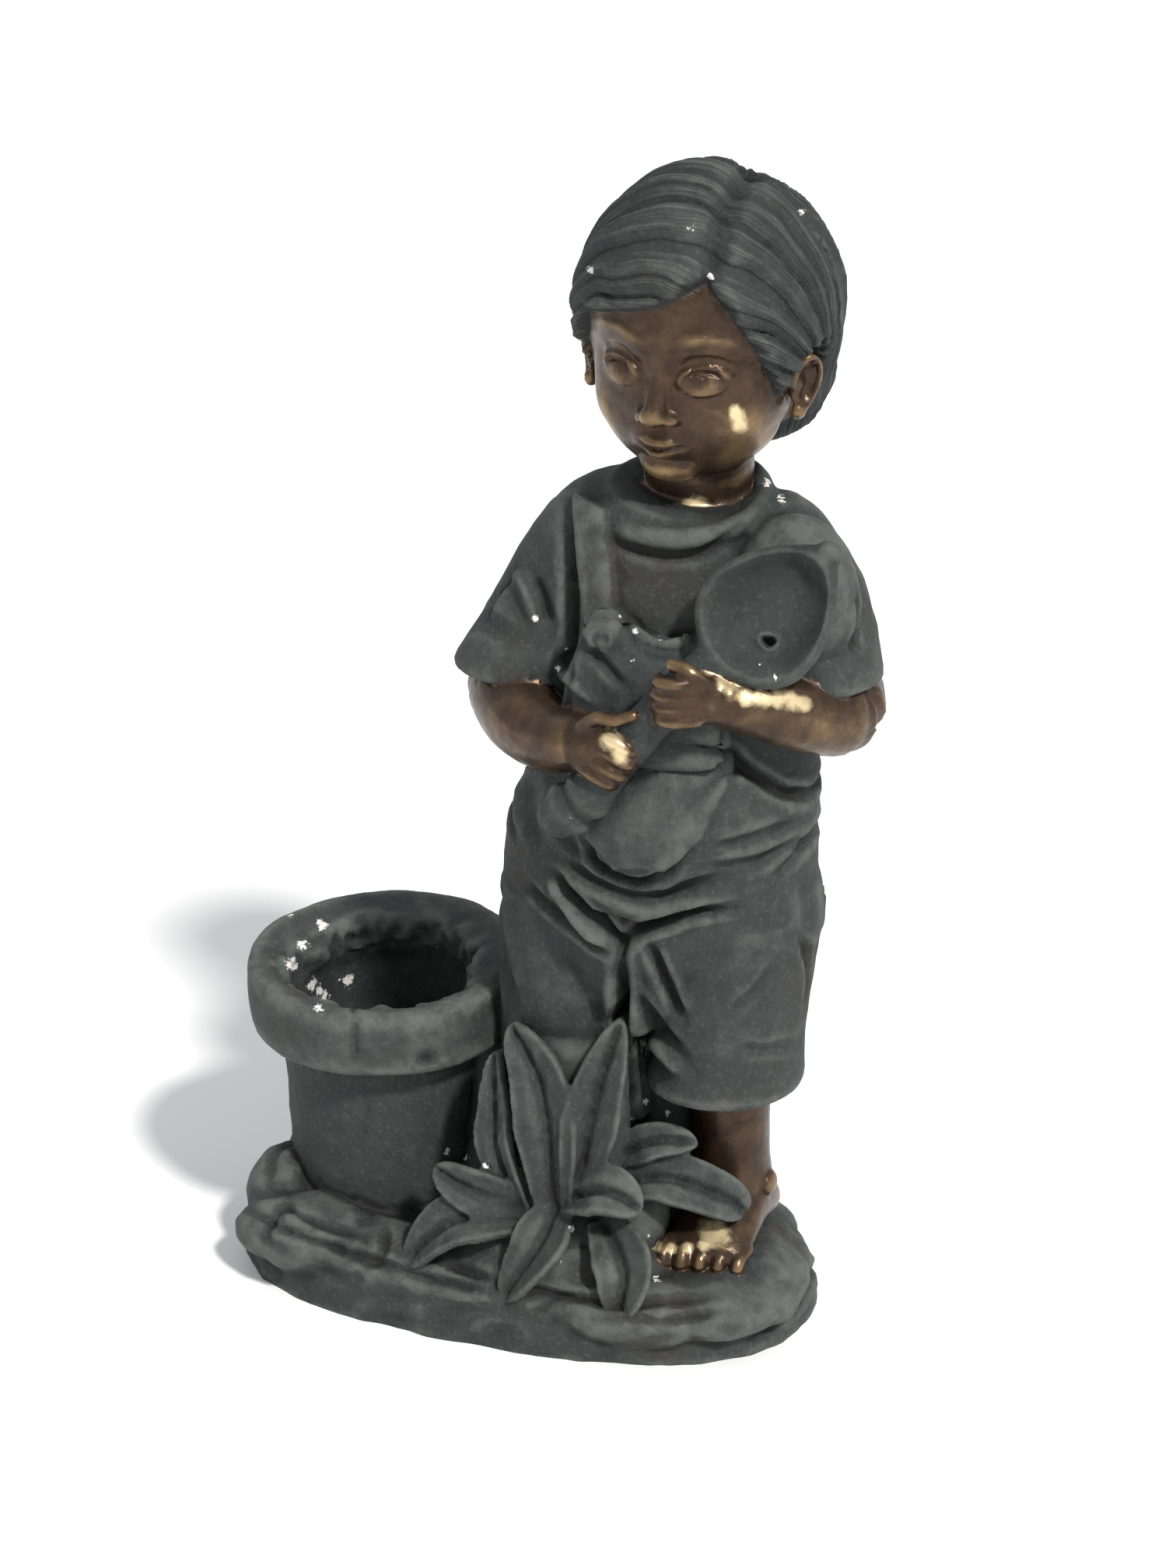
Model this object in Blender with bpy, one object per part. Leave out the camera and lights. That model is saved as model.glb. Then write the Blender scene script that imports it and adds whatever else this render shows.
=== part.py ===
"""Garden statue of a small boy in overalls who holds a shovel and stands beside a flower pot.

The boy, the shovel, the pot, the plant and the rocky base are one casting, so they are one solid.
The origin is in the middle of the flat underside. +X is to the viewer's right, the boy faces -Y.
Free forms are written in hundredths of the statue's height. The base, the pot and the bore have
real sizes in metres.
"""

import math

import bmesh
import bpy
import numpy as np
from mathutils import Euler, Matrix, Vector

# Driving sizes in metres
STATUE_HEIGHT = 0.500
BASE_LENGTH = 0.258
BASE_DEPTH = 0.136
BASE_THICKNESS = 0.031
POT_HEIGHT = 0.111
POT_RIM_RADIUS = 0.0605
POT_RIM_HEIGHT = 0.030
POT_BODY_RADIUS = 0.0475
POT_FOOT_RADIUS = 0.0450
POT_MOUTH_RADIUS = 0.0400
POT_MOUTH_FORWARD = 0.0050
POT_LEAN_DEG = 3.5
POT_WALL = 0.0080
POT_FLOOR = 0.0140
POT_FROM_BASE_END = 0.0610
BORE_RADIUS = 0.0016
BORE_DEPTH = 0.0060

# One unit is a hundredth of the statue's height
UNIT = STATUE_HEIGHT / 100

# Sizes of the mesh, in units
VOXEL = 0.34
TRIANGLES = 9400

# The height at which the figure is drawn standing on the base, in units
BASE_TOP = 5.6

# How square the base's outline is: 2 would be an ellipse
BASE_SQUARENESS = 2.4

# How far the base's outline leans: its front goes to the viewer's left by this share of its depth
BASE_SKEW = 0.08

# How far behind the middle of the base the pot stands, in units
POT_Y = 2.6

# Where the head sits and how it is turned: nod, tilt and turn in degrees
HEAD_PLACE = (14.9, 0.6, 87.24)
HEAD_NOD = 9.0
HEAD_TILT = 2.0
HEAD_TURN = -5.0

# The shovel's blade: its middle, what it faces, where its point goes, and its half sizes, in units
BLADE_PLACE = (24.0, -8.6, 67.0)
BLADE_FACING = (0.05, -0.93, 0.30)
BLADE_POINTS_ALONG = (0.66, 0.40, 0.70)
BLADE_HALF_LENGTH = 6.1
BLADE_HALF_WIDTH = 5.2
BLADE_TAPER = 0.3
BLADE_THICK = 3.0
BLADE_HOLLOW = 1.7

# Where the small hole is in the blade, as shares of its half sizes
BORE_ALONG = -0.34
BORE_ASIDE = 0.29

# A leaf's thickness, and how far its sides fold up from the midrib, in units
LEAF_THICK = 1.3
LEAF_FOLD = 1.2

CLAY_COLOUR = (0.085, 0.098, 0.097, 1.0)
CLAY_ROUGHNESS = 0.8
CLAY_METALLIC = 0.1


def units(metres):
    """A real size as hundredths of the statue's height."""
    return metres / UNIT


def ground():
    """The height of the flat underside, below the top of the base."""
    return BASE_TOP - units(BASE_THICKNESS)


def smooth_rows(rows, steps):
    """Rows of numbers joined by a smooth curve, with this many steps between two rows."""
    rows = np.asarray(rows, float)
    ends = np.vstack([2 * rows[0] - rows[1], rows, 2 * rows[-1] - rows[-2]])
    made = []
    for i in range(1, len(ends) - 2):
        a, b, c, d = ends[i - 1 : i + 3]
        for t in np.linspace(0, 1, steps, endpoint=False):
            made.append(
                0.5 * (2 * b + (c - a) * t + (2 * a - 5 * b + 4 * c - d) * t**2
                       + (3 * b - a - 3 * c + d) * t**3)
            )
    made.append(rows[-1])
    return np.array(made)


def skin(form, rings):
    """Joins rings of points, each as long as the next, into a closed tube with a cap at each end."""
    made = [[form.verts.new(point) for point in ring] for ring in rings]
    sides = len(made[0])
    for low, high in zip(made, made[1:]):
        for i in range(sides):
            j = (i + 1) % sides
            form.faces.new((low[i], low[j], high[j], high[i]))
    form.faces.new(reversed(made[0]))
    form.faces.new(made[-1])


def loft(form, stations, facing=(0, -1, 0), sides=20, steps=4, domed=(True, True)):
    """A limb, roll or slab through stations (x, y, z, half width, half depth), its depth along facing."""
    rows = smooth_rows(stations, steps)
    spots = rows[:, :3]
    along = np.gradient(spots, axis=0)
    along /= np.linalg.norm(along, axis=1)[:, None]
    angles = np.linspace(0, 2 * math.pi, sides, endpoint=False)

    def ring(row, way, share, shift):
        depth_way = np.array(facing, float)
        depth_way -= way * (depth_way @ way)
        depth_way /= np.linalg.norm(depth_way)
        width_way = np.cross(way, depth_way)
        middle = row[:3] + way * shift
        width = np.outer(np.cos(angles) * row[3] * share, width_way)
        depth = np.outer(np.sin(angles) * row[4] * share, depth_way)
        return middle - width + depth

    rings = []
    dome = [math.radians(a) for a in (72, 48, 24)]
    if domed[0]:
        reach = min(rows[0][3:5])
        rings += [ring(rows[0], along[0], math.cos(a), -reach * math.sin(a)) for a in dome]
    rings += [ring(row, way, 1.0, 0.0) for row, way in zip(rows, along)]
    if domed[1]:
        reach = min(rows[-1][3:5])
        rings += [ring(rows[-1], along[-1], math.cos(a), reach * math.sin(a)) for a in reversed(dome)]
    skin(form, rings)


def ball(form, middle, radii, turn=(0, 0, 0)):
    """A lump of clay: an ellipsoid, turned by angles in degrees."""
    turning = Euler([math.radians(a) for a in turn]).to_matrix().to_4x4()
    shape = Matrix.Translation(middle) @ turning @ Matrix.Diagonal((*radii, 1.0))
    bmesh.ops.create_uvsphere(form, u_segments=22, v_segments=14, radius=1.0, matrix=shape)


def add_form(form, more):
    """Adds one form to another."""
    mesh = bpy.data.meshes.new("more")
    more.to_mesh(mesh)
    more.free()
    form.from_mesh(mesh)
    bpy.data.meshes.remove(mesh)


def hoop(form, middle, half_width, half_depth, thick, drop_front=0.0):
    """A rolled edge: a ring round the vertical that tilts down by drop_front to its front."""
    rings = []
    for a in np.linspace(0, 2 * math.pi, 36, endpoint=False):
        way = np.array((math.cos(a), math.sin(a), 0.0))
        spot = np.array(middle) + way * (half_width, half_depth, 0) + (0, 0, drop_front * math.sin(a))
        rings.append([
            spot + thick * (math.cos(b) * way + math.sin(b) * np.array((0, 0, 1.0)))
            for b in np.linspace(0, 2 * math.pi, 10, endpoint=False)
        ])
    made = [[form.verts.new(point) for point in ring] for ring in rings]
    for i, ring in enumerate(made):
        following = made[(i + 1) % len(made)]
        for j in range(len(ring)):
            k = (j + 1) % len(ring)
            form.faces.new((ring[j], following[j], following[k], ring[k]))


def turned(form, profile, sides=48):
    """A turned form: profile is (radius, height, shift to the front) rows from the lowest up."""
    angles = np.linspace(0, 2 * math.pi, sides, endpoint=False)
    skin(form, [
        [(r * math.cos(a), r * math.sin(a) - forward, z) for a in angles]
        for r, z, forward in profile
    ])


def model_base(form):
    """The rounded slab of the base and the rocks that swell out of it."""
    half_length = units(BASE_LENGTH) / 2
    half_depth = units(BASE_DEPTH) / 2
    thick = units(BASE_THICKNESS)
    corner = 2 / BASE_SQUARENESS
    rings = []
    for share, level in ((1.0, -0.4), (1.0, 0.0), (0.995, 0.4), (0.97, 0.72), (0.91, 0.92), (0.75, 1.02)):
        ring = []
        for angle in np.linspace(0, 2 * math.pi, 64, endpoint=False):
            x = math.copysign(abs(math.cos(angle)) ** corner, math.cos(angle))
            y = math.copysign(abs(math.sin(angle)) ** corner, math.sin(angle))
            deep = share * half_depth * y
            ring.append((share * half_length * x + BASE_SKEW * deep, deep, ground() + level * thick))
        rings.append(ring)
    skin(form, rings)
    ball(form, (0, 0, BASE_TOP - 0.8), (0.9 * half_length, 0.86 * half_depth, 2.0))
    ball(form, (5.0, -5.0, 4.0), (12.0, 7.8, 5.8))
    for x, y, drop, rx, ry, rz in (
        (-0.84, -0.22, 0.6, 3.5, 5.0, 4.0),
        (-0.86, 0.34, 0.8, 2.6, 4.6, 3.4),
        (-0.66, -0.56, 1.6, 7.4, 5.0, 3.4),
        (-0.30, -0.66, 2.0, 8.6, 4.4, 3.2),
        (0.46, -0.66, 2.2, 8.4, 4.6, 3.0),
        (0.74, -0.20, 2.0, 7.3, 8.6, 3.2),
        (-0.50, 0.60, 2.0, 8.0, 5.0, 3.0),
        (0.10, 0.66, 2.4, 9.0, 4.4, 3.0),
        (0.56, 0.56, 2.4, 8.0, 5.0, 3.0),
    ):
        ball(form, (x * half_length, y * half_depth, BASE_TOP - drop), (rx, ry, rz))


def pot_levels():
    """The heights of the underside of the pot's rim and of its lip above the pot's ground, in units."""
    lip = units(POT_HEIGHT)
    return lip - units(POT_RIM_HEIGHT), lip


def place_pot(form):
    """Leans the pot forward and stands it on the base, its middle in from the base's end."""
    leaning = Matrix.Rotation(math.radians(POT_LEAN_DEG), 4, "X")
    place = (units(POT_FROM_BASE_END - BASE_LENGTH / 2), POT_Y, BASE_TOP)
    form.transform(Matrix.Translation(place) @ leaning)


def model_pot(form):
    """The turned body of the flower pot with its broad, upright rim."""
    rim, lip = pot_levels()
    body = units(POT_BODY_RADIUS)
    wide = units(POT_RIM_RADIUS)
    pot = bmesh.new()
    turned(pot, [(r, z, 0) for r, z in (
        (units(POT_FOOT_RADIUS), -1.6),
        (units(POT_FOOT_RADIUS), 3.0),
        (body, rim - 0.6),
        (body + 0.4, rim - 0.1),
        (wide - 0.4, rim),
        (wide, rim + 0.4),
        (wide + 0.1, rim + 3.0),
        (wide, lip - 0.4),
        (wide - 0.4, lip),
        (body * 0.4, lip),
    )])
    place_pot(pot)
    add_form(form, pot)


def pot_cutter():
    """The hollow of the pot. Its mouth is nearer the front than the back of the rim."""
    rim, lip = pot_levels()
    form = bmesh.new()
    mouth = units(POT_MOUTH_RADIUS)
    forward = units(POT_MOUTH_FORWARD)
    floor = units(POT_FLOOR)
    inside = units(POT_BODY_RADIUS) - units(POT_WALL)
    foot_inside = units(POT_FOOT_RADIUS) - units(POT_WALL)
    turned(form, [
        (foot_inside * 0.8, floor, 0),
        (foot_inside, floor + 0.8, 0),
        (inside, rim, 0),
        (mouth, lip - 1.5, forward),
        (mouth, lip + 3.0, forward),
    ], sides=36)
    place_pot(form)
    return form


def model_trousers(form):
    """The baggy overalls: hips and belly, the two legs, the bib and its one strap with a button."""
    loft(form, [
        (13.0, 1.2, 60.0, 12.0, 7.6),
        (13.6, 0.8, 54.0, 11.5, 8.2),
        (13.5, 0.6, 48.0, 12.0, 8.9),
        (12.3, 0.7, 42.0, 13.5, 9.2),
        (12.0, 1.0, 36.5, 13.9, 9.0),
        (12.0, 1.2, 33.5, 13.2, 8.2),
    ], sides=36)
    ball(form, (14.6, -2.0, 47.5), (9.6, 8.4, 8.0))
    loft(form, [
        (5.2, 1.4, 38.0, 7.2, 8.0),
        (5.0, 1.2, 31.0, 7.2, 7.4),
        (4.9, 1.2, 25.0, 7.2, 7.0),
        (5.0, 1.2, 17.4, 7.2, 6.8),
    ], sides=28, domed=(True, False))
    loft(form, [
        (18.4, 1.4, 38.0, 7.4, 8.2),
        (18.2, 1.2, 31.0, 6.7, 7.7),
        (18.0, 1.2, 25.0, 6.4, 7.2),
        (17.7, 1.0, 20.4, 6.7, 7.4),
    ], sides=28, domed=(True, False))
    for x in (6.6, 17.6):
        ball(form, (x, 5.6, 42.0), (6.2, 4.8, 6.4))
    loft(form, [
        (13.0, -7.3, 64.0, 5.0, 0.9),
        (12.9, -8.0, 60.0, 5.8, 1.0),
        (12.8, -8.2, 54.0, 7.0, 1.2),
    ])
    loft(form, [
        (6.4, 1.0, 71.6, 1.3, 0.7),
        (6.7, -2.6, 71.0, 1.3, 0.7),
        (7.8, -5.6, 67.6, 1.3, 0.7),
        (9.6, -7.6, 62.6, 1.5, 0.9),
    ], facing=(0, -0.8, 0.6))
    loft(form, [
        (6.4, 1.4, 71.6, 1.3, 0.7),
        (6.9, 5.2, 69.6, 1.3, 0.7),
        (8.8, 7.8, 64.0, 1.3, 0.7),
        (11.8, 8.6, 56.4, 1.4, 0.7),
    ], facing=(0, 0.8, 0.6))
    ball(form, (9.7, -8.5, 62.4), (0.85, 0.5, 0.85))


def sleeve(form, stations):
    """A wide sleeve as level ovals (x, y, z, half width, half depth) from the shoulder down."""
    rows = smooth_rows(stations, 4)
    angles = np.linspace(0, 2 * math.pi, 28, endpoint=False)
    top = rows[0] * (1, 1, 1, 0.5, 0.5) + (0, 0, 1.6, 0, 0)
    skin(form, [
        [(x + half * math.cos(a), y - deep * math.sin(a), z) for a in angles]
        for x, y, z, half, deep in (top, *rows)
    ])


def model_shirt(form):
    """The round-necked shirt: trunk, two wide sleeves and the rolled neckband."""
    loft(form, [
        (13.1, 0.9, 52.0, 11.2, 7.0),
        (12.6, 0.8, 60.0, 12.0, 7.3),
        (12.8, 1.0, 65.5, 12.4, 7.2),
        (13.2, 0.9, 69.2, 11.0, 6.8),
        (13.7, 0.6, 71.8, 8.0, 6.4),
        (13.9, 0.4, 73.2, 6.1, 5.6),
    ], sides=36, domed=(True, False))
    sleeve(form, (
        (5.9, 1.6, 70.6, 4.0, 4.2),
        (4.2, 1.5, 66.0, 5.2, 5.2),
        (2.8, 0.8, 61.6, 5.9, 5.8),
        (0.7, 0.0, 57.8, 6.2, 6.2),
        (0.6, -0.2, 57.0, 6.1, 6.1),
    ))
    sleeve(form, (
        (20.8, 1.6, 71.4, 4.0, 4.2),
        (22.7, 1.5, 67.4, 5.1, 5.3),
        (23.7, 0.8, 63.2, 5.8, 6.0),
        (24.5, -0.1, 59.6, 6.1, 6.3),
        (24.5, -0.2, 58.9, 6.0, 6.2),
    ))
    ball(form, (23.9, -2.2, 66.0), (5.3, 4.7, 6.8))
    hoop(form, (14.0, 0.2, 72.5), 6.5, 5.9, 0.95, drop_front=1.5)


def model_arms(form):
    """The bare forearms that meet in front of the chest."""
    loft(form, [
        (1.4, 0.8, 61.0, 3.4, 3.6),
        (-0.9, -0.2, 55.8, 3.7, 3.7),
        (1.8, -4.8, 54.2, 3.5, 3.4),
        (5.8, -8.6, 54.0, 2.9, 2.8),
        (8.6, -10.6, 54.8, 2.3, 2.4),
    ])
    loft(form, [
        (24.4, 1.4, 61.6, 3.6, 3.6),
        (27.6, 0.2, 56.4, 3.6, 3.7),
        (25.6, -5.0, 57.4, 3.1, 3.1),
        (22.8, -8.8, 59.0, 2.5, 2.4),
        (20.6, -10.6, 59.8, 2.1, 2.1),
    ])


def finger(form, spots, size):
    """A finger through its knuckles, thinner at its tip."""
    sizes = [size * (1 - 0.06 * i) for i in range(len(spots))]
    loft(form, [(*spot, thick, thick) for spot, thick in zip(spots, sizes)], sides=12)


def model_hands(form):
    """The right hand folded over the shaft, and the left fist round it higher up."""
    ball(form, (10.5, -11.4, 55.0), (2.5, 1.8, 2.9), (0, 25, 0))
    for x, z in ((14.1, 55.5), (13.8, 54.4), (13.1, 53.3), (12.3, 52.4)):
        finger(form, [(x - 2.8, -12.2, z + 0.9), (x - 1.3, -13.2, z + 0.6), (x - 0.1, -13.0, z),
                      (x + 0.2, -12.0, z - 0.4)], 0.64)
    finger(form, [(9.6, -12.2, 56.8), (11.2, -12.9, 57.9), (12.8, -13.2, 58.1), (14.2, -12.9, 58.5)], 0.62)
    ball(form, (19.4, -11.5, 60.3), (2.5, 1.8, 2.3))
    for i in range(4):
        z = 61.7 - 0.98 * i
        x = 15.9 + 0.2 * abs(i - 1.3)
        finger(form, [(x + 3.2, -12.9, z + 0.1), (x + 1.5, -13.8, z), (x + 0.1, -13.2, z - 0.1),
                      (x - 0.2, -11.8, z - 0.2)], 0.6)
    finger(form, [(20.2, -12.4, 61.6), (18.8, -12.9, 62.7), (17.4, -12.7, 63.0)], 0.66)


def model_legs(form):
    """The bare left ankle and foot, and the right leg that goes down behind the plant."""
    loft(form, [
        (18.0, 1.8, 23.0, 3.6, 3.9),
        (18.1, 2.0, 15.0, 3.4, 3.6),
        (18.2, 2.6, 10.4, 3.4, 4.2),
    ])
    loft(form, [
        (18.6, 5.0, 7.6, 3.2, 2.4),
        (18.4, 1.4, 8.8, 3.3, 3.0),
        (18.2, -1.6, 8.2, 3.6, 2.4),
        (18.0, -4.2, 7.3, 3.8, 1.7),
    ], facing=(0, 0, 1))
    ball(form, (21.3, 2.2, 11.0), (0.9, 1.3, 1.2))
    ball(form, (15.2, 2.0, 11.4), (0.9, 1.3, 1.2))
    for i in range(5):
        size = 1.2 - 0.09 * i
        x = 14.8 + 1.6 * i
        y = -5.8 + 0.2 * i
        loft(form, [
            (x + 0.2, y + 1.4, 7.4, 0.74 * size, 0.85 * size),
            (x, y - 0.1, 7.1, 0.78 * size, 0.92 * size),
            (x, y - 0.7, 6.6, 0.72 * size, 0.78 * size),
        ], facing=(0, 0, 1), sides=14)
    loft(form, [
        (4.9, 2.0, 20.0, 6.4, 5.8),
        (4.9, 2.0, 12.0, 6.0, 5.6),
        (5.0, 1.6, 6.0, 6.6, 6.6),
    ])
    loft(form, [(11.4, 3.0, 24.0, 3.6, 3.6), (11.4, 3.0, 12.0, 3.8, 4.0), (11.4, 2.6, 6.0, 5.0, 5.2)])
    loft(form, [(-3.4, 2.6, 24.0, 3.0, 3.2), (-3.4, 2.6, 12.0, 3.4, 4.0), (-3.4, 2.2, 6.0, 5.0, 6.0)])


def blade_frame():
    """The middle of the shovel's blade, and its outward, lengthwise and sideways directions."""
    middle = np.array(BLADE_PLACE)
    out = np.array(BLADE_FACING)
    out /= np.linalg.norm(out)
    long_way = np.array(BLADE_POINTS_ALONG)
    long_way -= out * (long_way @ out)
    long_way /= np.linalg.norm(long_way)
    return middle, out, long_way, np.cross(long_way, out)


def model_shovel(form):
    """The stout shaft with its grooved grip, and the egg-shaped blade on the left shoulder."""
    loft(form, [
        (7.3, -10.9, 48.3, 1.9, 1.8),
        (8.3, -11.0, 49.2, 2.3, 2.2),
        (9.2, -11.1, 50.1, 1.8, 1.8),
        (10.2, -11.2, 51.0, 2.2, 2.1),
        (13.0, -11.4, 55.0, 1.9, 1.9),
        (17.4, -11.2, 60.4, 1.8, 1.8),
        (20.8, -9.8, 63.4, 1.7, 1.6),
    ])
    middle, out, long_way = blade_frame()[:3]
    rows = []
    for t in np.linspace(-1, 1, 9):
        half = BLADE_HALF_WIDTH * math.sqrt(max(1 - t * t, 0.12)) * (1 - BLADE_TAPER * t)
        spot = middle + long_way * (t * BLADE_HALF_LENGTH) - out * (0.35 * (1 - t * t))
        rows.append((*spot, half, 0.5 * BLADE_THICK))
    loft(form, rows, facing=tuple(out), sides=28, steps=2)


def leaf(form, spine, wide, facing):
    """A pointed leaf along a spine, folded at its midrib."""
    rows = smooth_rows(spine, 6)
    along = np.gradient(rows, axis=0)
    along /= np.linalg.norm(along, axis=1)[:, None]
    sides = np.linspace(-1, 1, 9)
    rings = []
    for share, spot, way in zip(np.linspace(0, 1, len(rows)), rows, along):
        out = np.array(facing, float)
        out -= way * (out @ way)
        out /= np.linalg.norm(out)
        wide_way = np.cross(way, out)
        half = max(wide * min(1, 0.5 + 1.3 * share) * math.sqrt(max(1 - share**2.6, 0)), 0.3)
        lift = LEAF_FOLD * np.abs(sides) * min(half / 2, 1)
        face = np.array([spot + wide_way * (half * t) + out * h for t, h in zip(sides, lift)])
        rings.append(np.vstack([face, (face - out * LEAF_THICK)[::-1]]))
    skin(form, rings)


def model_plant(form):
    """The plant in front of the right leg: three leaves stand up against it and the others droop."""
    ball(form, (6.4, -4.8, 7.8), (6.2, 5.0, 4.6))
    ball(form, (10.2, -4.0, 8.8), (4.2, 4.6, 5.0))
    ball(form, (3.0, -6.0, 8.6), (5.6, 3.8, 4.0))
    loft(form, [(5.6, -4.4, 8.0, 6.0, 4.3), (5.4, -4.6, 15.0, 5.8, 4.0), (5.8, -4.2, 23.5, 5.0, 3.0)])
    upright = (0.1, -1, 0.2)
    drooping = (0, -0.6, 0.8)
    leaf(form, [(5.8, -8.4, 10.2), (5.4, -8.7, 17.7), (4.1, -8.0, 23.2), (1.3, -7.0, 27.0)], 2.9, upright)
    leaf(form, [(3.2, -8.6, 9.8), (0.7, -8.4, 15.6), (0.2, -7.6, 19.6), (-0.3, -6.8, 24.0)], 1.9,
         (-0.3, -1, 0.2))
    leaf(form, [(7.7, -8.2, 11.2), (8.7, -8.2, 18.4), (9.6, -7.4, 23.3), (11.0, -6.6, 28.6)], 2.6,
         (0.2, -1, 0.2))
    leaf(form, [(4.2, -8.4, 10.0), (-0.8, -9.8, 12.0), (-4.8, -9.8, 13.7)], 2.2, (-0.2, -0.9, 0.5))
    leaf(form, [(4.4, -8.6, 10.0), (-1.9, -11.2, 9.8), (-6.9, -11.8, 4.8)], 2.7, drooping)
    leaf(form, [(6.2, -8.4, 11.6), (5.5, -11.8, 8.8), (2.6, -12.8, 3.8)], 2.6, drooping)
    leaf(form, [(7.0, -8.4, 11.8), (11.0, -10.2, 14.4), (14.2, -10.0, 13.2)], 2.5, drooping)
    leaf(form, [(9.8, -6.2, 12.4), (14.6, -5.6, 14.0), (19.4, -4.2, 12.4), (21.2, -3.2, 10.6)], 2.4,
         (0, -0.75, 0.65))
    leaf(form, [(10.0, -8.2, 10.6), (13.1, -11.4, 8.0), (12.9, -12.2, 3.6)], 2.7, drooping)
    leaf(form, [(9.6, -5.2, 14.6), (13.4, -5.0, 17.0), (17.0, -4.0, 17.2)], 1.8, (0, -0.8, 0.6))


def head_matrix():
    turning = Euler([math.radians(a) for a in (HEAD_NOD, HEAD_TILT, HEAD_TURN)], "XYZ")
    return Matrix.Translation(HEAD_PLACE) @ turning.to_matrix().to_4x4()


def model_face(form):
    """The bare head on plain child's proportions: skull, cheeks, chin, nose, lips, eyes and ears."""
    ball(form, (0, 1.0, 0.4), (8.9, 9.9, 9.8))
    ball(form, (0, -1.1, -3.8), (8.2, 7.5, 7.6))
    ball(form, (0, -1.8, -6.6), (7.3, 6.4, 5.4))
    ball(form, (0, -5.9, -9.4), (2.8, 2.3, 2.0))
    ball(form, (0, -6.6, -7.3), (3.4, 2.2, 2.2))
    loft(form, [(0, -7.8, 0.4, 0.9, 0.9), (0, -8.5, -2.2, 0.8, 0.9), (0, -9.2, -4.4, 1.0, 1.0)], sides=12)
    for side in (-1, 1):
        ball(form, (side * 4.3, -4.1, -5.2), (3.7, 3.5, 3.6))
        ball(form, (side * 1.0, -8.5, -4.8), (0.8, 0.9, 0.7))
        ball(form, (side * 3.4, -6.9, -1.9), (1.7, 1.4, 1.2))
        loft(form, [
            (side * 1.4, -7.7, 0.9, 0.7, 0.5),
            (side * 3.7, -7.7, 1.4, 0.8, 0.6),
            (side * 6.0, -6.2, 0.7, 0.6, 0.5),
        ], sides=12)
        loft(form, [
            (side * 9.0, -1.6, -6.4, 0.9, 1.0),
            (side * 9.2, -1.1, -4.3, 1.0, 2.0),
            (side * 9.4, -0.9, -2.1, 0.9, 1.7),
        ], facing=(0, -1, 0), sides=14)
    for z, half, reach, size in ((-7.15, 1.9, 8.9, 0.45), (-8.0, 1.6, 8.8, 0.5)):
        loft(form, [
            (-half, -reach + 0.9, z - 0.1, size * 0.6, size * 0.6),
            (0, -reach, z, size, size),
            (half, -reach + 0.9, z - 0.1, size * 0.6, size * 0.6),
        ], sides=10)


# The hairline: angle round the head from the front in degrees, and its height on the head
HAIRLINE = (
    (-180, -10.6), (-140, -10.2), (-112, -8.0), (-94, -1.6), (-80, -4.8), (-66, -2.0), (-50, 1.4), (-25, 2.6),
    (0, 3.6), (18, 4.8), (28, 5.4), (40, 3.0), (54, -0.6), (66, -4.4), (76, -1.6), (92, -1.0), (106, -8.6),
    (140, -10.6), (180, -10.8),
)
PARTING_X = 3.9
CROWN = (2.2, 4.6)
LOCKS = 12
LOCK_DEPTH = 1.0


def parting(spots):
    """How far to the side the parting runs: it slants from the forehead to the crown."""
    back = np.clip((spots[:, 1] + 9) / (CROWN[1] + 9), 0, 1)
    return PARTING_X + (CROWN[0] - PARTING_X) * back


def strand_phase(spots):
    """Numbers the locks: they fan from the parting to the ears in front, and from the crown behind."""
    front = np.arctan2(spots[:, 1] - 1.0, spots[:, 2] + 4.0)
    seam = math.atan2(CROWN[1] - 1.0, 13.5)
    behind = np.arctan2(np.abs(spots[:, 0] - CROWN[0]), spots[:, 1] - CROWN[1])
    return np.where(front < seam, (front - seam) * LOCKS, (math.pi / 2 - behind) * 0.6 * LOCKS)


def hair_shell(form):
    """The cap of side-parted hair in thick locks, with a notch along the parting."""
    start = len(form.verts)
    bmesh.ops.create_icosphere(form, subdivisions=6, radius=1.0)
    form.verts.ensure_lookup_table()
    verts = form.verts[start:]
    ways = np.array([vert.co[:] for vert in verts])
    spots = np.array((0.2, 1.2, 0.4)) + ways * (9.0, 10.0, 9.7)
    lock = np.abs(np.sin(strand_phase(spots))) ** 0.7
    angles, heights = zip(*HAIRLINE)
    line = np.interp(np.degrees(np.arctan2(spots[:, 0], -spots[:, 1])), angles, heights)
    over = np.clip((spots[:, 2] - line - 0.5 * lock) / 1.1 + 0.4, 0, 1)
    over = over * over * (3 - 2 * over)
    side = spots[:, 0] - parting(spots)
    top = np.clip(ways[:, 2] + 0.1, 0, 1) * (spots[:, 1] < CROWN[1] + 1)
    lift = 1.3 + LOCK_DEPTH * (lock - 0.6) + 0.4 * np.exp(-((side + 4.0) / 4.0) ** 2) * top
    lift -= 0.9 * np.exp(-((side / 0.8) ** 2)) * top + 0.35 * np.clip(side / 3, 0, 1) * top
    push = lift * over - 1.6 * (1 - over)
    for vert, place in zip(verts, spots + ways * (1, 1, 0.9) * push[:, None]):
        vert.co = place


def model_head(form):
    """The neck, the bare head and the hair, turned into place."""
    loft(form, [(13.8, 1.6, 68.0, 4.8, 4.8), (14.4, 1.2, 74.0, 4.3, 4.4), (14.8, 1.0, 79.0, 4.6, 4.8)])
    head = bmesh.new()
    model_face(head)
    hair_shell(head)
    ball(head, (0.3, 4.0, -4.6), (9.3, 5.4, 6.8))
    ball(head, (0.3, 4.6, -7.4), (8.0, 4.8, 5.0))
    head.transform(head_matrix())
    add_form(form, head)


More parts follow.
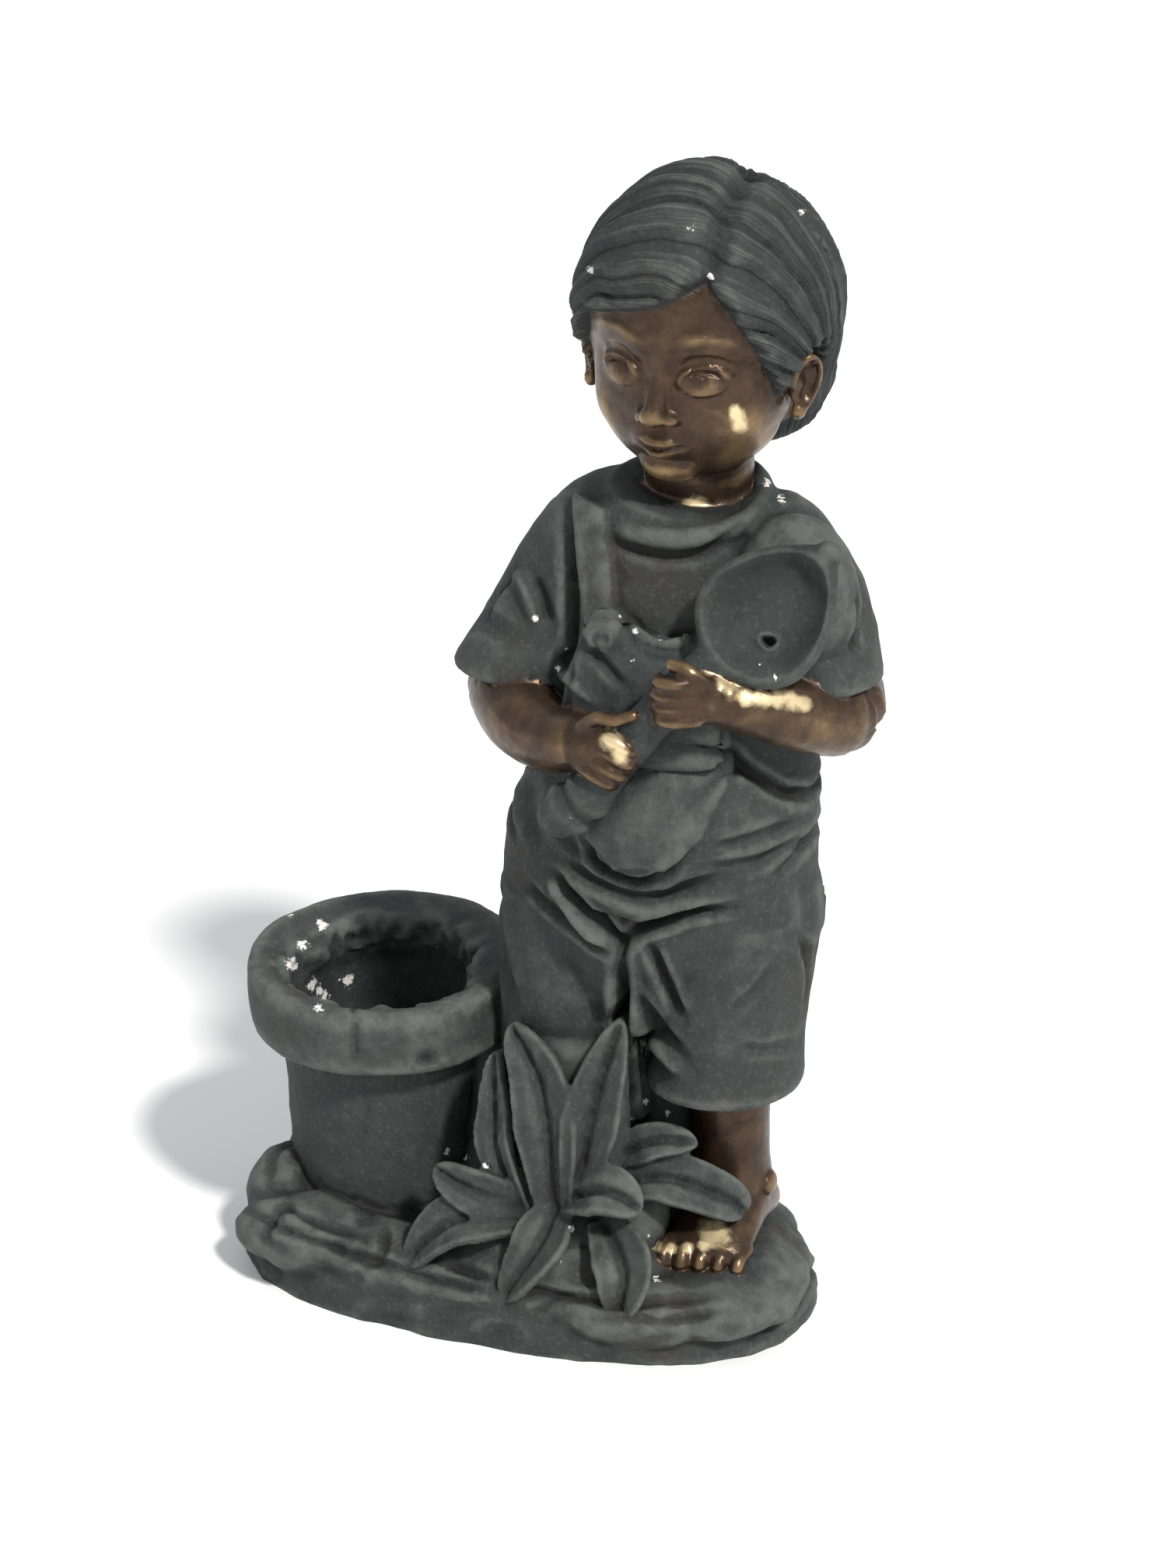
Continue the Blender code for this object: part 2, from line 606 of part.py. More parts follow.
def object_of(form, name):
    """An object in the scene from a form in units."""
    mesh = bpy.data.meshes.new(name)
    form.to_mesh(mesh)
    form.free()
    made = bpy.data.objects.new(name, mesh)
    bpy.context.scene.collection.objects.link(made)
    return made


def fused(lumps):
    """One skin round all the lumps of clay, as points and normals ready for carving."""
    remesh = lumps.modifiers.new("Fuse", "REMESH")
    remesh.mode = "VOXEL"
    remesh.voxel_size = VOXEL
    rub = lumps.modifiers.new("Rub", "SMOOTH")
    rub.factor = 0.4
    rub.iterations = 2
    graph = bpy.context.evaluated_depsgraph_get()
    mesh = bpy.data.meshes.new_from_object(lumps.evaluated_get(graph))
    old = lumps.data
    bpy.data.objects.remove(lumps)
    bpy.data.meshes.remove(old)
    return mesh


class Carving:
    """The points of a mesh, moved in and out along their normals by strokes."""

    def __init__(self, mesh):
        self.mesh = mesh
        self.read()

    def read(self):
        count = len(self.mesh.vertices)
        self.spots = np.empty(count * 3)
        self.mesh.vertices.foreach_get("co", self.spots)
        self.spots = self.spots.reshape(-1, 3)
        self.ways = np.empty(count * 3)
        self.mesh.vertices.foreach_get("normal", self.ways)
        self.ways = self.ways.reshape(-1, 3)

    def write(self):
        self.mesh.vertices.foreach_set("co", self.spots.ravel())
        self.mesh.update()
        self.read()

    def stroke(self, path, width, depth, seen_from=(0, -1, 0), within=None):
        """Cuts a crease, or raises a fold where depth is negative, along a path of points.

        The path is seen along a direction, and only what faces that way within the y range is cut.
        """
        seen = np.array(seen_from, float)
        seen /= np.linalg.norm(seen)
        line = smooth_rows(path, 5)
        flat = self.spots - np.outer(self.spots @ seen, seen)
        line = line - np.outer(line @ seen, seen)
        nearest = np.full(len(flat), 1e9)
        place = np.zeros(len(flat))
        for i, (a, b) in enumerate(zip(line, line[1:])):
            run = b - a
            t = np.clip((flat - a) @ run / max(run @ run, 1e-9), 0, 1)
            away = np.linalg.norm(flat - a - t[:, None] * run, axis=1)
            closer = away < nearest
            nearest[closer] = away[closer]
            place[closer] = (i + t[closer]) / (len(line) - 1)
        ease = np.clip(np.minimum(place, 1 - place) * 5, 0, 1) * 0.75 + 0.25
        pull = np.exp(-((nearest / width) ** 2)) * ease
        pull *= np.clip((self.ways @ seen) * 2.5, 0, 1)
        if within:
            pull *= (self.spots[:, 1] > within[0]) & (self.spots[:, 1] < within[1])
        self.spots -= self.ways * (pull * depth)[:, None]


def carve_blade(clay):
    """Hollows the egg-shaped blade and leaves its rounded rim."""
    middle, out, long_way, wide_way = blade_frame()
    offset = clay.spots - middle
    t = offset @ long_way / BLADE_HALF_LENGTH
    half = BLADE_HALF_WIDTH * (1 - BLADE_TAPER * t)
    reach = np.sqrt((offset @ wide_way / half) ** 2 + t**2) / 0.86
    bowl = np.clip(1 - reach**4, 0, 1) * (np.abs(offset @ out) < BLADE_THICK)
    bowl *= np.clip(clay.ways @ out * 2, 0, 1)
    clay.spots -= np.outer(bowl * BLADE_HOLLOW, out)
    clay.write()


def carve_folds(clay):
    """The big folds of the trousers and shirt that show from a step away."""
    for path, width, depth in (
        ([(4.8, 0, 44.5), (8.6, 0, 39.4), (11.4, 0, 36.8)], 0.9, 1.5),
        ([(7.4, 0, 46.5), (11.0, 0, 42.6), (15.4, 0, 42.0), (19.6, 0, 44.4)], 0.8, 0.9),
        ([(8.8, 0, 48.0), (12.0, 0, 45.0), (15.0, 0, 44.4), (17.4, 0, 45.6)], 0.7, 0.9),
        ([(11.6, 0, 36.8), (15.6, 0, 38.4), (19.4, 0, 39.4), (22.4, 0, 38.6)], 0.8, 1.4),
        ([(11.6, 0, 36.4), (11.5, 0, 31.0), (11.2, 0, 26.0), (11.5, 0, 20.0)], 0.8, 1.6),
        ([(13.2, 0, 37.0), (14.6, 0, 33.4), (16.4, 0, 31.0)], 0.7, 0.9),
        ([(11.8, 0, 33.6), (13.6, 0, 30.0), (16.6, 0, 26.4)], 0.7, 0.9),
        ([(11.8, 0, 30.0), (14.0, 0, 27.0), (16.4, 0, 25.2)], 0.6, 0.7),
        ([(25.4, 0, 28.4), (22.4, 0, 26.6), (19.6, 0, 26.2)], 0.7, 0.6),
        ([(-3.0, 0, 64.0), (0.6, 0, 61.6), (3.0, 0, 58.6)], 0.8, 0.7),
        ([(6.4, 0, 64.6), (6.6, 0, 61.0), (6.9, 0, 58.0)], 0.8, 1.4),
        ([(6.6, 0, 58.4), (9.4, 0, 57.0), (11.0, 0, 55.6)], 0.6, 0.7),
    ):
        clay.stroke(path, width, depth, within=(-20, 3))
    clay.write()


def carve_base(clay):
    """Low layers that run slantwise round the front of the rock, and a cleft across them."""
    for path, width, depth in (
        ([(-24.0, -15, 4.4), (-12.0, -15, 1.4), (-4.0, -15, 0.7), (4.0, -15, 1.2)], 0.7, 0.6),
        ([(-8.0, -15, 3.0), (-1.0, -15, 1.8), (7.0, -15, 1.5), (18.0, -15, 3.4)], 0.7, 0.6),
        ([(-22.0, -15, 0.6), (-20.8, -12, 3.4), (-18.0, -9, 5.6)], 0.7, 0.8),
    ):
        clay.stroke(path, width, depth, seen_from=(0, -0.8, 0.6), within=(-20, -3))
    clay.write()


def to_real_size():
    """From the drawing in units to metres, with the underside at zero."""
    return Matrix.Scale(UNIT, 4) @ Matrix.Translation((0, 0, -ground()))


def cutter(form, name):
    """A helper that a Boolean subtracts and that is no part of the statue."""
    made = object_of(form, name)
    made.data.transform(to_real_size())
    made.hide_render = True
    made.display_type = "WIRE"
    return made


def ground_cutter():
    """Everything below the flat underside."""
    form = bmesh.new()
    bmesh.ops.create_cube(form, size=1.0)
    reach = 2 * units(BASE_LENGTH)
    bmesh.ops.scale(form, vec=(reach, reach, 10), verts=form.verts)
    bmesh.ops.translate(form, vec=(0, 0, ground() - 5), verts=form.verts)
    return form


def bore_cutter():
    """The small drilled hole low in the shovel's blade."""
    form = bmesh.new()
    middle, out, long_way, wide_way = (Vector(v) for v in blade_frame())
    mouth = middle + BORE_ALONG * BLADE_HALF_LENGTH * long_way + BORE_ASIDE * BLADE_HALF_WIDTH * wide_way
    turning = out.to_track_quat("Z", "Y").to_matrix().to_4x4()
    bottom = mouth + (0.5 * BLADE_THICK - BLADE_HOLLOW - units(BORE_DEPTH)) * out
    length = units(BORE_DEPTH) + BLADE_THICK
    bmesh.ops.create_cone(
        form,
        cap_ends=True,
        segments=12,
        radius1=units(BORE_RADIUS),
        radius2=units(BORE_RADIUS),
        depth=length,
        matrix=Matrix.Translation(bottom + 0.5 * length * out) @ turning,
    )
    return form


def clay_material():
    material = bpy.data.materials.new("aged_bronze_plaster")
    material.use_nodes = True
    shader = material.node_tree.nodes["Principled BSDF"]
    shader.inputs["Base Color"].default_value = CLAY_COLOUR
    shader.inputs["Roughness"].default_value = CLAY_ROUGHNESS
    shader.inputs["Metallic"].default_value = CLAY_METALLIC
    return material


def build():
    for old in list(bpy.data.objects):
        bpy.data.objects.remove(old)
    form = bmesh.new()
    model_base(form)
    model_pot(form)
    model_legs(form)
    model_trousers(form)
    model_shirt(form)
    model_arms(form)
    model_shovel(form)
    model_hands(form)
    model_head(form)
    model_plant(form)
    mesh = fused(object_of(form, "lumps"))
    clay = Carving(mesh)
    carve_blade(clay)
    carve_folds(clay)
    carve_base(clay)
    mesh.transform(to_real_size())
    mesh.name = "boy_with_flower_pot"
    statue = bpy.data.objects.new("boy_with_flower_pot", mesh)
    bpy.context.scene.collection.objects.link(statue)
    thin = statue.modifiers.new("Thin", "DECIMATE")
    thin.ratio = TRIANGLES / (2 * len(mesh.polygons))
    for name, form in (("hollow", pot_cutter()), ("ground", ground_cutter()), ("bore", bore_cutter())):
        cut = statue.modifiers.new(name, "BOOLEAN")
        cut.operation = "DIFFERENCE"
        cut.solver = "EXACT"
        cut.object = cutter(form, name + "_cutter")
    statue.data.materials.append(clay_material())
    statue.data.shade_smooth()


build()
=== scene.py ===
"""Garden statue of a small boy with a shovel beside a flower pot, carved and painted over its model.

Free forms are drawn in hundredths of the statue's height, with the boy facing -Y. The ground of the
drawing lies at GROUND. The finished statue is one closed mesh in metres.
"""

import math

import bmesh
import bpy
import numpy as np
from mathutils import Euler, Matrix, Vector, noise
from mathutils.bvhtree import BVHTree


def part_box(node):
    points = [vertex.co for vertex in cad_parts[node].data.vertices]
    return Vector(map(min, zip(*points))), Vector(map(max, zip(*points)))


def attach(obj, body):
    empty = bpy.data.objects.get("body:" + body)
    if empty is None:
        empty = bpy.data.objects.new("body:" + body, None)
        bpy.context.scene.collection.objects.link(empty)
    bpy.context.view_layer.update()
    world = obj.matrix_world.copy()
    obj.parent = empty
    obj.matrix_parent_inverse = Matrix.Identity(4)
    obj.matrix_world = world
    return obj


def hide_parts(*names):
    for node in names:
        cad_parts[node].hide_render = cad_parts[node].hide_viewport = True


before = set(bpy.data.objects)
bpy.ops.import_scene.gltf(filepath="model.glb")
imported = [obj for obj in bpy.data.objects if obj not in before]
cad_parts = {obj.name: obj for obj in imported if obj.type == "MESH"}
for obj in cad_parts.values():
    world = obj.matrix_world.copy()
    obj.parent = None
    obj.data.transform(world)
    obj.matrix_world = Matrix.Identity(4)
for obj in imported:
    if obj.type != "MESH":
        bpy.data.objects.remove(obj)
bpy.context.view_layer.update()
NODE = "boy_with_flower_pot"
LOW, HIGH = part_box(NODE)

# One unit is a hundredth of the statue's height
UNIT = (HIGH.z - LOW.z) / 100
GROUND = -0.6
BASE_TOP = 5.6

# The camera, in metres
CAMERA_TURN_DEG = 20.0
CAMERA_AWAY = 1.35
CAMERA_HEIGHT = 0.783
CAMERA_PLACE = Vector((
    0.03 + CAMERA_AWAY * math.sin(math.radians(CAMERA_TURN_DEG)),
    -CAMERA_AWAY * math.cos(math.radians(CAMERA_TURN_DEG)),
    CAMERA_HEIGHT,
))
CAMERA_LOOKS_AT = Vector((0.03, 0.0, 0.253))
CAMERA_LENS = 80.36
CAMERA_SENSOR = 36.0
CAMERA_SHIFT = (-0.002, -0.0238)

# The key light and the even light from all round, in metres and degrees
KEY_PLACE = (1.65, -1.3, 2.4)
KEY_LOOKS_AT = (0.02, 0, 0.25)
KEY_STRENGTH = 3.5
KEY_SOFT_DEG = 6.0
SKY_STRENGTH = 0.68

# The base, in units
BASE_HALF_LENGTH = 25.8
BASE_HALF_DEPTH = 13.6
BASE_THICK = 6.2
BASE_SQUARENESS = 2.4
BASE_SKEW = 0.08

# The pot, in units
POT_PLACE = (-13.6, 2.6, BASE_TOP)
POT_LEAN_DEG = 3.5
POT_HEIGHT = 22.2
POT_RIM_HEIGHT = 5.8
POT_RIM_RADIUS = 12.1
POT_BODY_RADIUS = 9.5
POT_FOOT_RADIUS = 9.0
POT_MOUTH_RADIUS = 8.2
POT_MOUTH_FORWARD = 1.0
POT_WALL = 1.6
POT_FLOOR = 2.8
POT_STEP = 0.45
POT_SEGMENTS = 150

# Where the head sits and how it is turned: nod, tilt and turn in degrees
HEAD_PLACE = (14.9, 0.6, 87.24)
HEAD_NOD = 9.0
HEAD_TILT = 2.0
HEAD_TURN = -5.0

# The shovel's blade, in units
BLADE_PLACE = (24.0, -8.6, 67.0)
BLADE_FACING = (0.05, -0.93, 0.30)
BLADE_POINTS_ALONG = (0.66, 0.40, 0.70)
BLADE_HALF_LENGTH = 6.1
BLADE_HALF_WIDTH = 5.2
BLADE_TAPER = 0.3
BLADE_THICK = 1.5
BLADE_BEND = 0.35
BOWL_SHARE = 0.88
BOWL_DEPTH = 1.7
BOWL_REACH = 2.6

# The most triangles that the finished statue has, and how near a point is to lie on a part's skin
TRIANGLES = 192000
TOUCHING = 0.05


def deselect():
    bpy.ops.object.select_all(action="DESELECT")


def make_active(thing):
    deselect()
    thing.select_set(True)
    bpy.context.view_layer.objects.active = thing


def apply_modifier(thing, name, kind, **settings):
    """Adds a modifier with these settings and applies it."""
    make_active(thing)
    made = thing.modifiers.new(name, kind)
    for key, value in settings.items():
        setattr(made, key, value)
    bpy.ops.object.modifier_apply(modifier=made.name)


def add_object(name, data):
    made = bpy.data.objects.new(name, data)
    bpy.context.scene.collection.objects.link(made)
    return made


def angles_round(count):
    return np.linspace(0, 2 * math.pi, count, endpoint=False)


def smooth_rows(rows, steps):
    """Rows of numbers joined by a smooth curve, with this many steps between two rows."""
    rows = np.asarray(rows, float)
    ends = np.vstack([2 * rows[0] - rows[1], rows, 2 * rows[-1] - rows[-2]])
    made = []
    for i in range(1, len(ends) - 2):
        a, b, c, d = ends[i - 1 : i + 3]
        for t in np.linspace(0, 1, steps, endpoint=False):
            made.append(
                0.5 * (2 * b + (c - a) * t + (2 * a - 5 * b + 4 * c - d) * t**2
                       + (3 * b - a - 3 * c + d) * t**3)
            )
    made.append(rows[-1])
    return np.array(made)


def unit(way):
    way = np.array(way, float)
    return way / np.linalg.norm(way)


def grain(spots, size, seed=0.0):
    """Smooth noise from -1 to 1 at each point, with lumps of this size."""
    shift = Vector((seed, 2.3 * seed, -1.7 * seed))
    return np.array([noise.noise(Vector(p) / size + shift) for p in spots])


class Lumps:
    """Lumps, rolls and slabs of clay that are pressed together into one skin."""

    def __init__(self, name):
        self.name = name
        self.form = bmesh.new()
        self.parts = []

    def ball(self, middle, radii, turn=(0, 0, 0)):
        """An ellipsoid, turned by angles in degrees."""
        deselect()
        bpy.ops.mesh.primitive_uv_sphere_add(
            segments=28,
            ring_count=18,
            radius=1.0,
            location=middle,
            rotation=[math.radians(a) for a in turn],
            scale=radii,
        )
        self.parts.append(bpy.context.object)

    def pair(self, middle, radii, turn=(0, 0, 0)):
        """A ball on each side of the middle plane."""
        x, y, z = middle
        self.ball(middle, radii, turn)
        self.ball((-x, y, z), radii, (turn[0], -turn[1], -turn[2]))

    def skin(self, rings, closed=False):
        """Joins rings of points into a tube, with a cap at each end unless it is closed on itself."""
        made = [[self.form.verts.new(point) for point in ring] for ring in rings]
        sides = len(made[0])
        following = made[1:] + made[:1] if closed else made[1:]
        for low, high in zip(made, following):
            for i in range(sides):
                j = (i + 1) % sides
                self.form.faces.new((low[i], low[j], high[j], high[i]))
        if not closed:
            self.form.faces.new(reversed(made[0]))
            self.form.faces.new(made[-1])

    def loft(self, stations, facing=(0, -1, 0), sides=24, steps=5, domed=(True, True)):
        """A limb or roll through stations (x, y, z, half width, half depth), its depth along facing."""
        rows = smooth_rows(stations, steps)
        along = np.gradient(rows[:, :3], axis=0)
        along /= np.linalg.norm(along, axis=1)[:, None]
        angles = angles_round(sides)

        def ring(row, way, share, shift):
            depth_way = np.array(facing, float)
            depth_way -= way * (depth_way @ way)
            depth_way /= np.linalg.norm(depth_way)
            width_way = np.cross(way, depth_way)
            width = np.outer(np.cos(angles) * row[3] * share, width_way)
            depth = np.outer(np.sin(angles) * row[4] * share, depth_way)
            return row[:3] + way * shift - width + depth

        rings = [ring(row, way, 1.0, 0.0) for row, way in zip(rows, along)]
        dome = [math.radians(a) for a in (24, 48, 72)]
        if domed[0]:
            reach = min(rows[0][3:5])
            for a in dome:
                rings.insert(0, ring(rows[0], along[0], math.cos(a), -reach * math.sin(a)))
        if domed[1]:
            reach = min(rows[-1][3:5])
            for a in dome:
                rings.append(ring(rows[-1], along[-1], math.cos(a), reach * math.sin(a)))
        self.skin(rings)

    def sleeve(self, stations, wall=0.0, hollow=0.0):
        """Level ovals (x, y, z, half width, half depth) from the top down, hollow below by this much."""
        rows = smooth_rows(stations, 5)
        top = rows[0] * (1, 1, 1, 0.5, 0.5) + (0, 0, 1.6, 0, 0)
        ovals = [top, *rows]
        if hollow:
            edge = rows[-1]
            ovals.append(edge + (0, 0, -0.15, -0.5 * wall, -0.5 * wall))
            ovals.append(edge + (0, 0, 0.3, -wall, -wall))
            ovals.append(edge + (0, 0, hollow, -1.3 * wall, -1.3 * wall))
        angles = angles_round(36)
        self.skin([
            [(x + half * math.cos(a), y - deep * math.sin(a), z) for a in angles]
            for x, y, z, half, deep in ovals
        ])

    def hoop(self, middle, half_width, half_depth, thick, tall, drop_front=0.0):
        """A rolled edge round the vertical, lower in front."""
        rings = []
        for a in angles_round(48):
            way = np.array((math.cos(a), math.sin(a), 0.0))
            spot = np.array(middle) + way * (half_width, half_depth, 0)
            spot = spot + (0, 0, drop_front * math.sin(a))
            rings.append([
                spot + thick * math.cos(b) * way + tall * math.sin(b) * np.array((0, 0, 1.0))
                for b in angles_round(12)
            ])
        self.skin(rings, closed=True)

    def fuse(self, voxel, rubs):
        """One skin round all the lumps, rubbed smooth this many times."""
        mesh = bpy.data.meshes.new(self.name)
        bmesh.ops.recalc_face_normals(self.form, faces=self.form.faces)
        self.form.to_mesh(mesh)
        self.form.free()
        body = add_object(self.name, mesh)
        make_active(body)
        for part in self.parts:
            part.select_set(True)
        bpy.ops.object.join()
        apply_modifier(body, "Fuse", "REMESH", mode="VOXEL", voxel_size=voxel)
        apply_modifier(body, "Rub", "SMOOTH", factor=0.5, iterations=rubs)
        return Clay(body)


class Sight:
    """Sees points from an eye, and gives their places on an upright plane across one axis."""

    def __init__(self, eye, across, plane):
        self.eye = np.array(eye, float)
        self.across = across
        self.depth = 1 - across
        self.plane = plane

    def look(self, spots):
        """The places on the plane, and the directions to the eye."""
        ray = spots - self.eye
        share = (self.plane - self.eye[self.depth]) / ray[:, self.depth]
        seen = self.eye + ray * share[:, None]
        toward = -ray / np.linalg.norm(ray, axis=1)[:, None]
        return seen[:, (self.across, 2)], toward


# Sights on the whole figure: the eye, the axis across its view and where its plane stands
EYE = CAMERA_PLACE / UNIT + Vector((0, 0, GROUND))
FRONT = Sight(EYE, 0, -7.0)
BACK = Sight((20, 300, 110), 0, 8.0)
LEFT = Sight((-320, -20, 100), 1, -4.0)
RIGHT = Sight((340, -20, 110), 1, 28.0)

# Sights on the head before it is turned into place
FACE = Sight((0, -400, 0), 0, -8.0)
EAR_SIDE = Sight((400, -60, 0), 1, 9.5)
OTHER_EAR_SIDE = Sight((-400, -60, 0), 1, -9.5)
FACE_DEPTH = (-30, -4)


def along_line(places, line):
    """The distance of each place from a line, and how far along the line it is nearest."""
    nearest = np.full(len(places), 1e9)
    share = np.zeros(len(places))
    for i, (a, b) in enumerate(zip(line, line[1:])):
        run = b - a
        t = np.clip((places - a) @ run / max(run @ run, 1e-9), 0, 1)
        away = np.linalg.norm(places - a - t[:, None] * run, axis=1)
        closer = away < nearest
        nearest[closer] = away[closer]
        share[closer] = (i + t[closer]) / (len(line) - 1)
    return nearest, share


def inside(places, outline):
    """True for each place within a closed outline."""
    within = np.zeros(len(places), bool)
    x, z = places[:, 0], places[:, 1]
    for (ax, az), (bx, bz) in zip(outline, np.roll(outline, -1, axis=0)):
        crosses = (az > z) != (bz > z)
        level = np.where(np.abs(bz - az) < 1e-9, 1e-9, bz - az)
        within ^= crosses & (x < ax + (z - az) * (bx - ax) / level)
    return within


def eased(t):
    t = np.clip(t, 0, 1)
    return t * t * (3 - 2 * t)


class Clay:
    """A skin of clay whose points are moved in and out by strokes."""

    def __init__(self, body):
        self.body = body
        self.read()

    def read(self):
        mesh = self.body.data
        count = len(mesh.vertices)
        self.spots = np.empty(count * 3)
        mesh.vertices.foreach_get("co", self.spots)
        self.spots = self.spots.reshape(-1, 3)
        self.ways = np.empty(count * 3)
        mesh.vertices.foreach_get("normal", self.ways)
        self.ways = self.ways.reshape(-1, 3)
        self.seen = {}

    def write(self):
        self.body.data.vertices.foreach_set("co", self.spots.ravel())
        self.body.data.update()
        self.read()

    def facing(self, sight, near):
        """The places of the points, and how much each faces the eye, within a range of depth."""
        if sight not in self.seen:
            places, toward = sight.look(self.spots)
            self.seen[sight] = places, np.clip((self.ways * toward).sum(1) * 3, 0, 1)
        places, faces = self.seen[sight]
        deep = self.spots[:, sight.depth]
        return places, faces * (deep > near[0]) * (deep < near[1])

    def stroke(self, path, width, depth, sight=FRONT, near=(-40, 5), bank=0.3, ends=0.15):
        """Cuts a crease with raised banks, or raises a fold where depth is negative."""
        line = smooth_rows(path, 6)
        places, faces = self.facing(sight, near)
        reach = 3.5 * width
        low, high = line.min(0) - reach, line.max(0) + reach
        close = np.where((faces > 0) & ((places > low) & (places < high)).all(1))[0]
        away, share = along_line(places[close], line)
        ease = eased(np.minimum(share, 1 - share) * 4) * (1 - ends) + ends
        pull = np.exp(-((away / width) ** 2)) - bank * np.exp(-(((away - 1.9 * width) / width) ** 2))
        self.spots[close] -= self.ways[close] * (pull * ease * faces[close] * depth)[:, None]

    def patch(self, outline, rise, edge, sight=FRONT, near=(-40, 5)):
        """Raises what lies within an outline, with an edge this wide, or sinks it."""
        outline = np.asarray(outline, float)
        places, faces = self.facing(sight, near)
        away = along_line(places, np.vstack([outline, outline[:1]]))[0]
        away = np.where(inside(places, outline), away, -away)
        lift = eased(away / edge + 0.5) * faces * rise
        self.spots += self.ways * lift[:, None]

    def dome(self, middle, half, rise, sight, near):
        """Raises a rounded lump that is an oval to the eye."""
        places, faces = self.facing(sight, near)
        away = np.linalg.norm((places - middle) / half, axis=1)
        self.spots += self.ways * (rise * np.clip(1 - away**2, 0, 1) ** 0.8 * faces)[:, None]

    def roughen(self, size, depth, seed=0.0):
        """Small uneven lumps all over."""
        self.spots += self.ways * (grain(self.spots, size, seed) * depth)[:, None]

    def turn(self, matrix):
        self.body.data.transform(matrix)
        self.read()


def shape_trousers(clay):
    """The hips, the round belly and the two trouser legs."""
    clay.loft([
        (13.0, 1.2, 60.0, 12.0, 7.6),
        (13.6, 0.8, 54.0, 11.5, 8.2),
        (13.5, 0.6, 48.0, 12.0, 8.9),
        (12.3, 0.7, 42.0, 13.5, 9.2),
        (12.0, 1.0, 36.5, 13.9, 9.0),
        (12.0, 1.2, 33.5, 13.2, 8.2),
    ], sides=40)
    clay.ball((14.6, -2.0, 47.5), (9.6, 8.4, 8.0))
    clay.sleeve([
        (5.2, 1.4, 38.0, 7.2, 8.0),
        (5.0, 1.2, 31.0, 7.2, 7.4),
        (4.9, 1.2, 25.0, 7.2, 7.0),
        (5.0, 1.2, 17.4, 7.2, 6.8),
    ])
    clay.sleeve([
        (18.4, 1.4, 38.0, 7.4, 8.2),
        (18.2, 1.2, 31.0, 6.7, 7.7),
        (18.0, 1.2, 25.0, 6.4, 7.2),
        (17.7, 1.0, 21.4, 6.7, 7.4),
    ], wall=1.1, hollow=1.8)
    for x in (6.6, 17.6):
        clay.ball((x, 5.6, 42.0), (6.2, 4.8, 6.4))


def shape_chest(clay):
    """The chest under the shirt, and the raised bib."""
    clay.loft([
        (13.1, 0.9, 52.0, 11.2, 7.0),
        (12.6, 0.8, 60.0, 12.0, 7.3),
        (12.8, 1.0, 65.5, 12.4, 7.2),
        (13.2, 0.9, 69.2, 11.0, 6.8),
        (13.7, 0.6, 71.8, 8.0, 6.4),
        (13.9, 0.4, 73.2, 6.1, 5.6),
    ], sides=40, domed=(True, False))
    clay.loft([
        (13.0, -7.3, 62.6, 5.0, 0.8),
        (12.9, -8.0, 60.0, 5.8, 1.0),
        (12.8, -8.2, 54.0, 7.0, 1.2),
    ])


def shape_sleeves(clay):
    """The two short sleeves, the rolled neckband and the strap on the back."""
    clay.sleeve([
        (5.9, 1.6, 70.6, 4.0, 4.2),
        (4.2, 1.5, 66.0, 5.2, 5.2),
        (2.8, 0.8, 61.6, 5.9, 5.8),
        (0.7, 0.0, 57.8, 6.2, 6.2),
        (0.6, -0.2, 57.0, 6.2, 6.2),
    ], wall=1.0, hollow=1.6)
    clay.sleeve([
        (20.8, 1.6, 71.4, 4.0, 4.2),
        (22.7, 1.5, 67.4, 5.1, 5.3),
        (23.7, 0.8, 63.2, 5.8, 6.0),
        (24.5, -0.1, 59.6, 6.1, 6.3),
        (24.5, -0.2, 58.9, 6.1, 6.3),
    ], wall=1.0, hollow=1.6)
    clay.ball((23.9, -2.2, 66.0), (5.3, 4.7, 6.8))
    clay.hoop((14.0, 0.2, 72.5), 6.4, 5.8, 0.95, 0.95, drop_front=1.6)
    clay.loft([
        (6.5, 1.5, 72.4, 1.5, 0.6),
        (6.9, 5.6, 70.5, 1.5, 0.6),
        (8.8, 8.6, 64.0, 1.5, 0.6),
        (11.8, 9.3, 56.4, 1.6, 0.6),
    ], facing=(0, 0.8, 0.6))


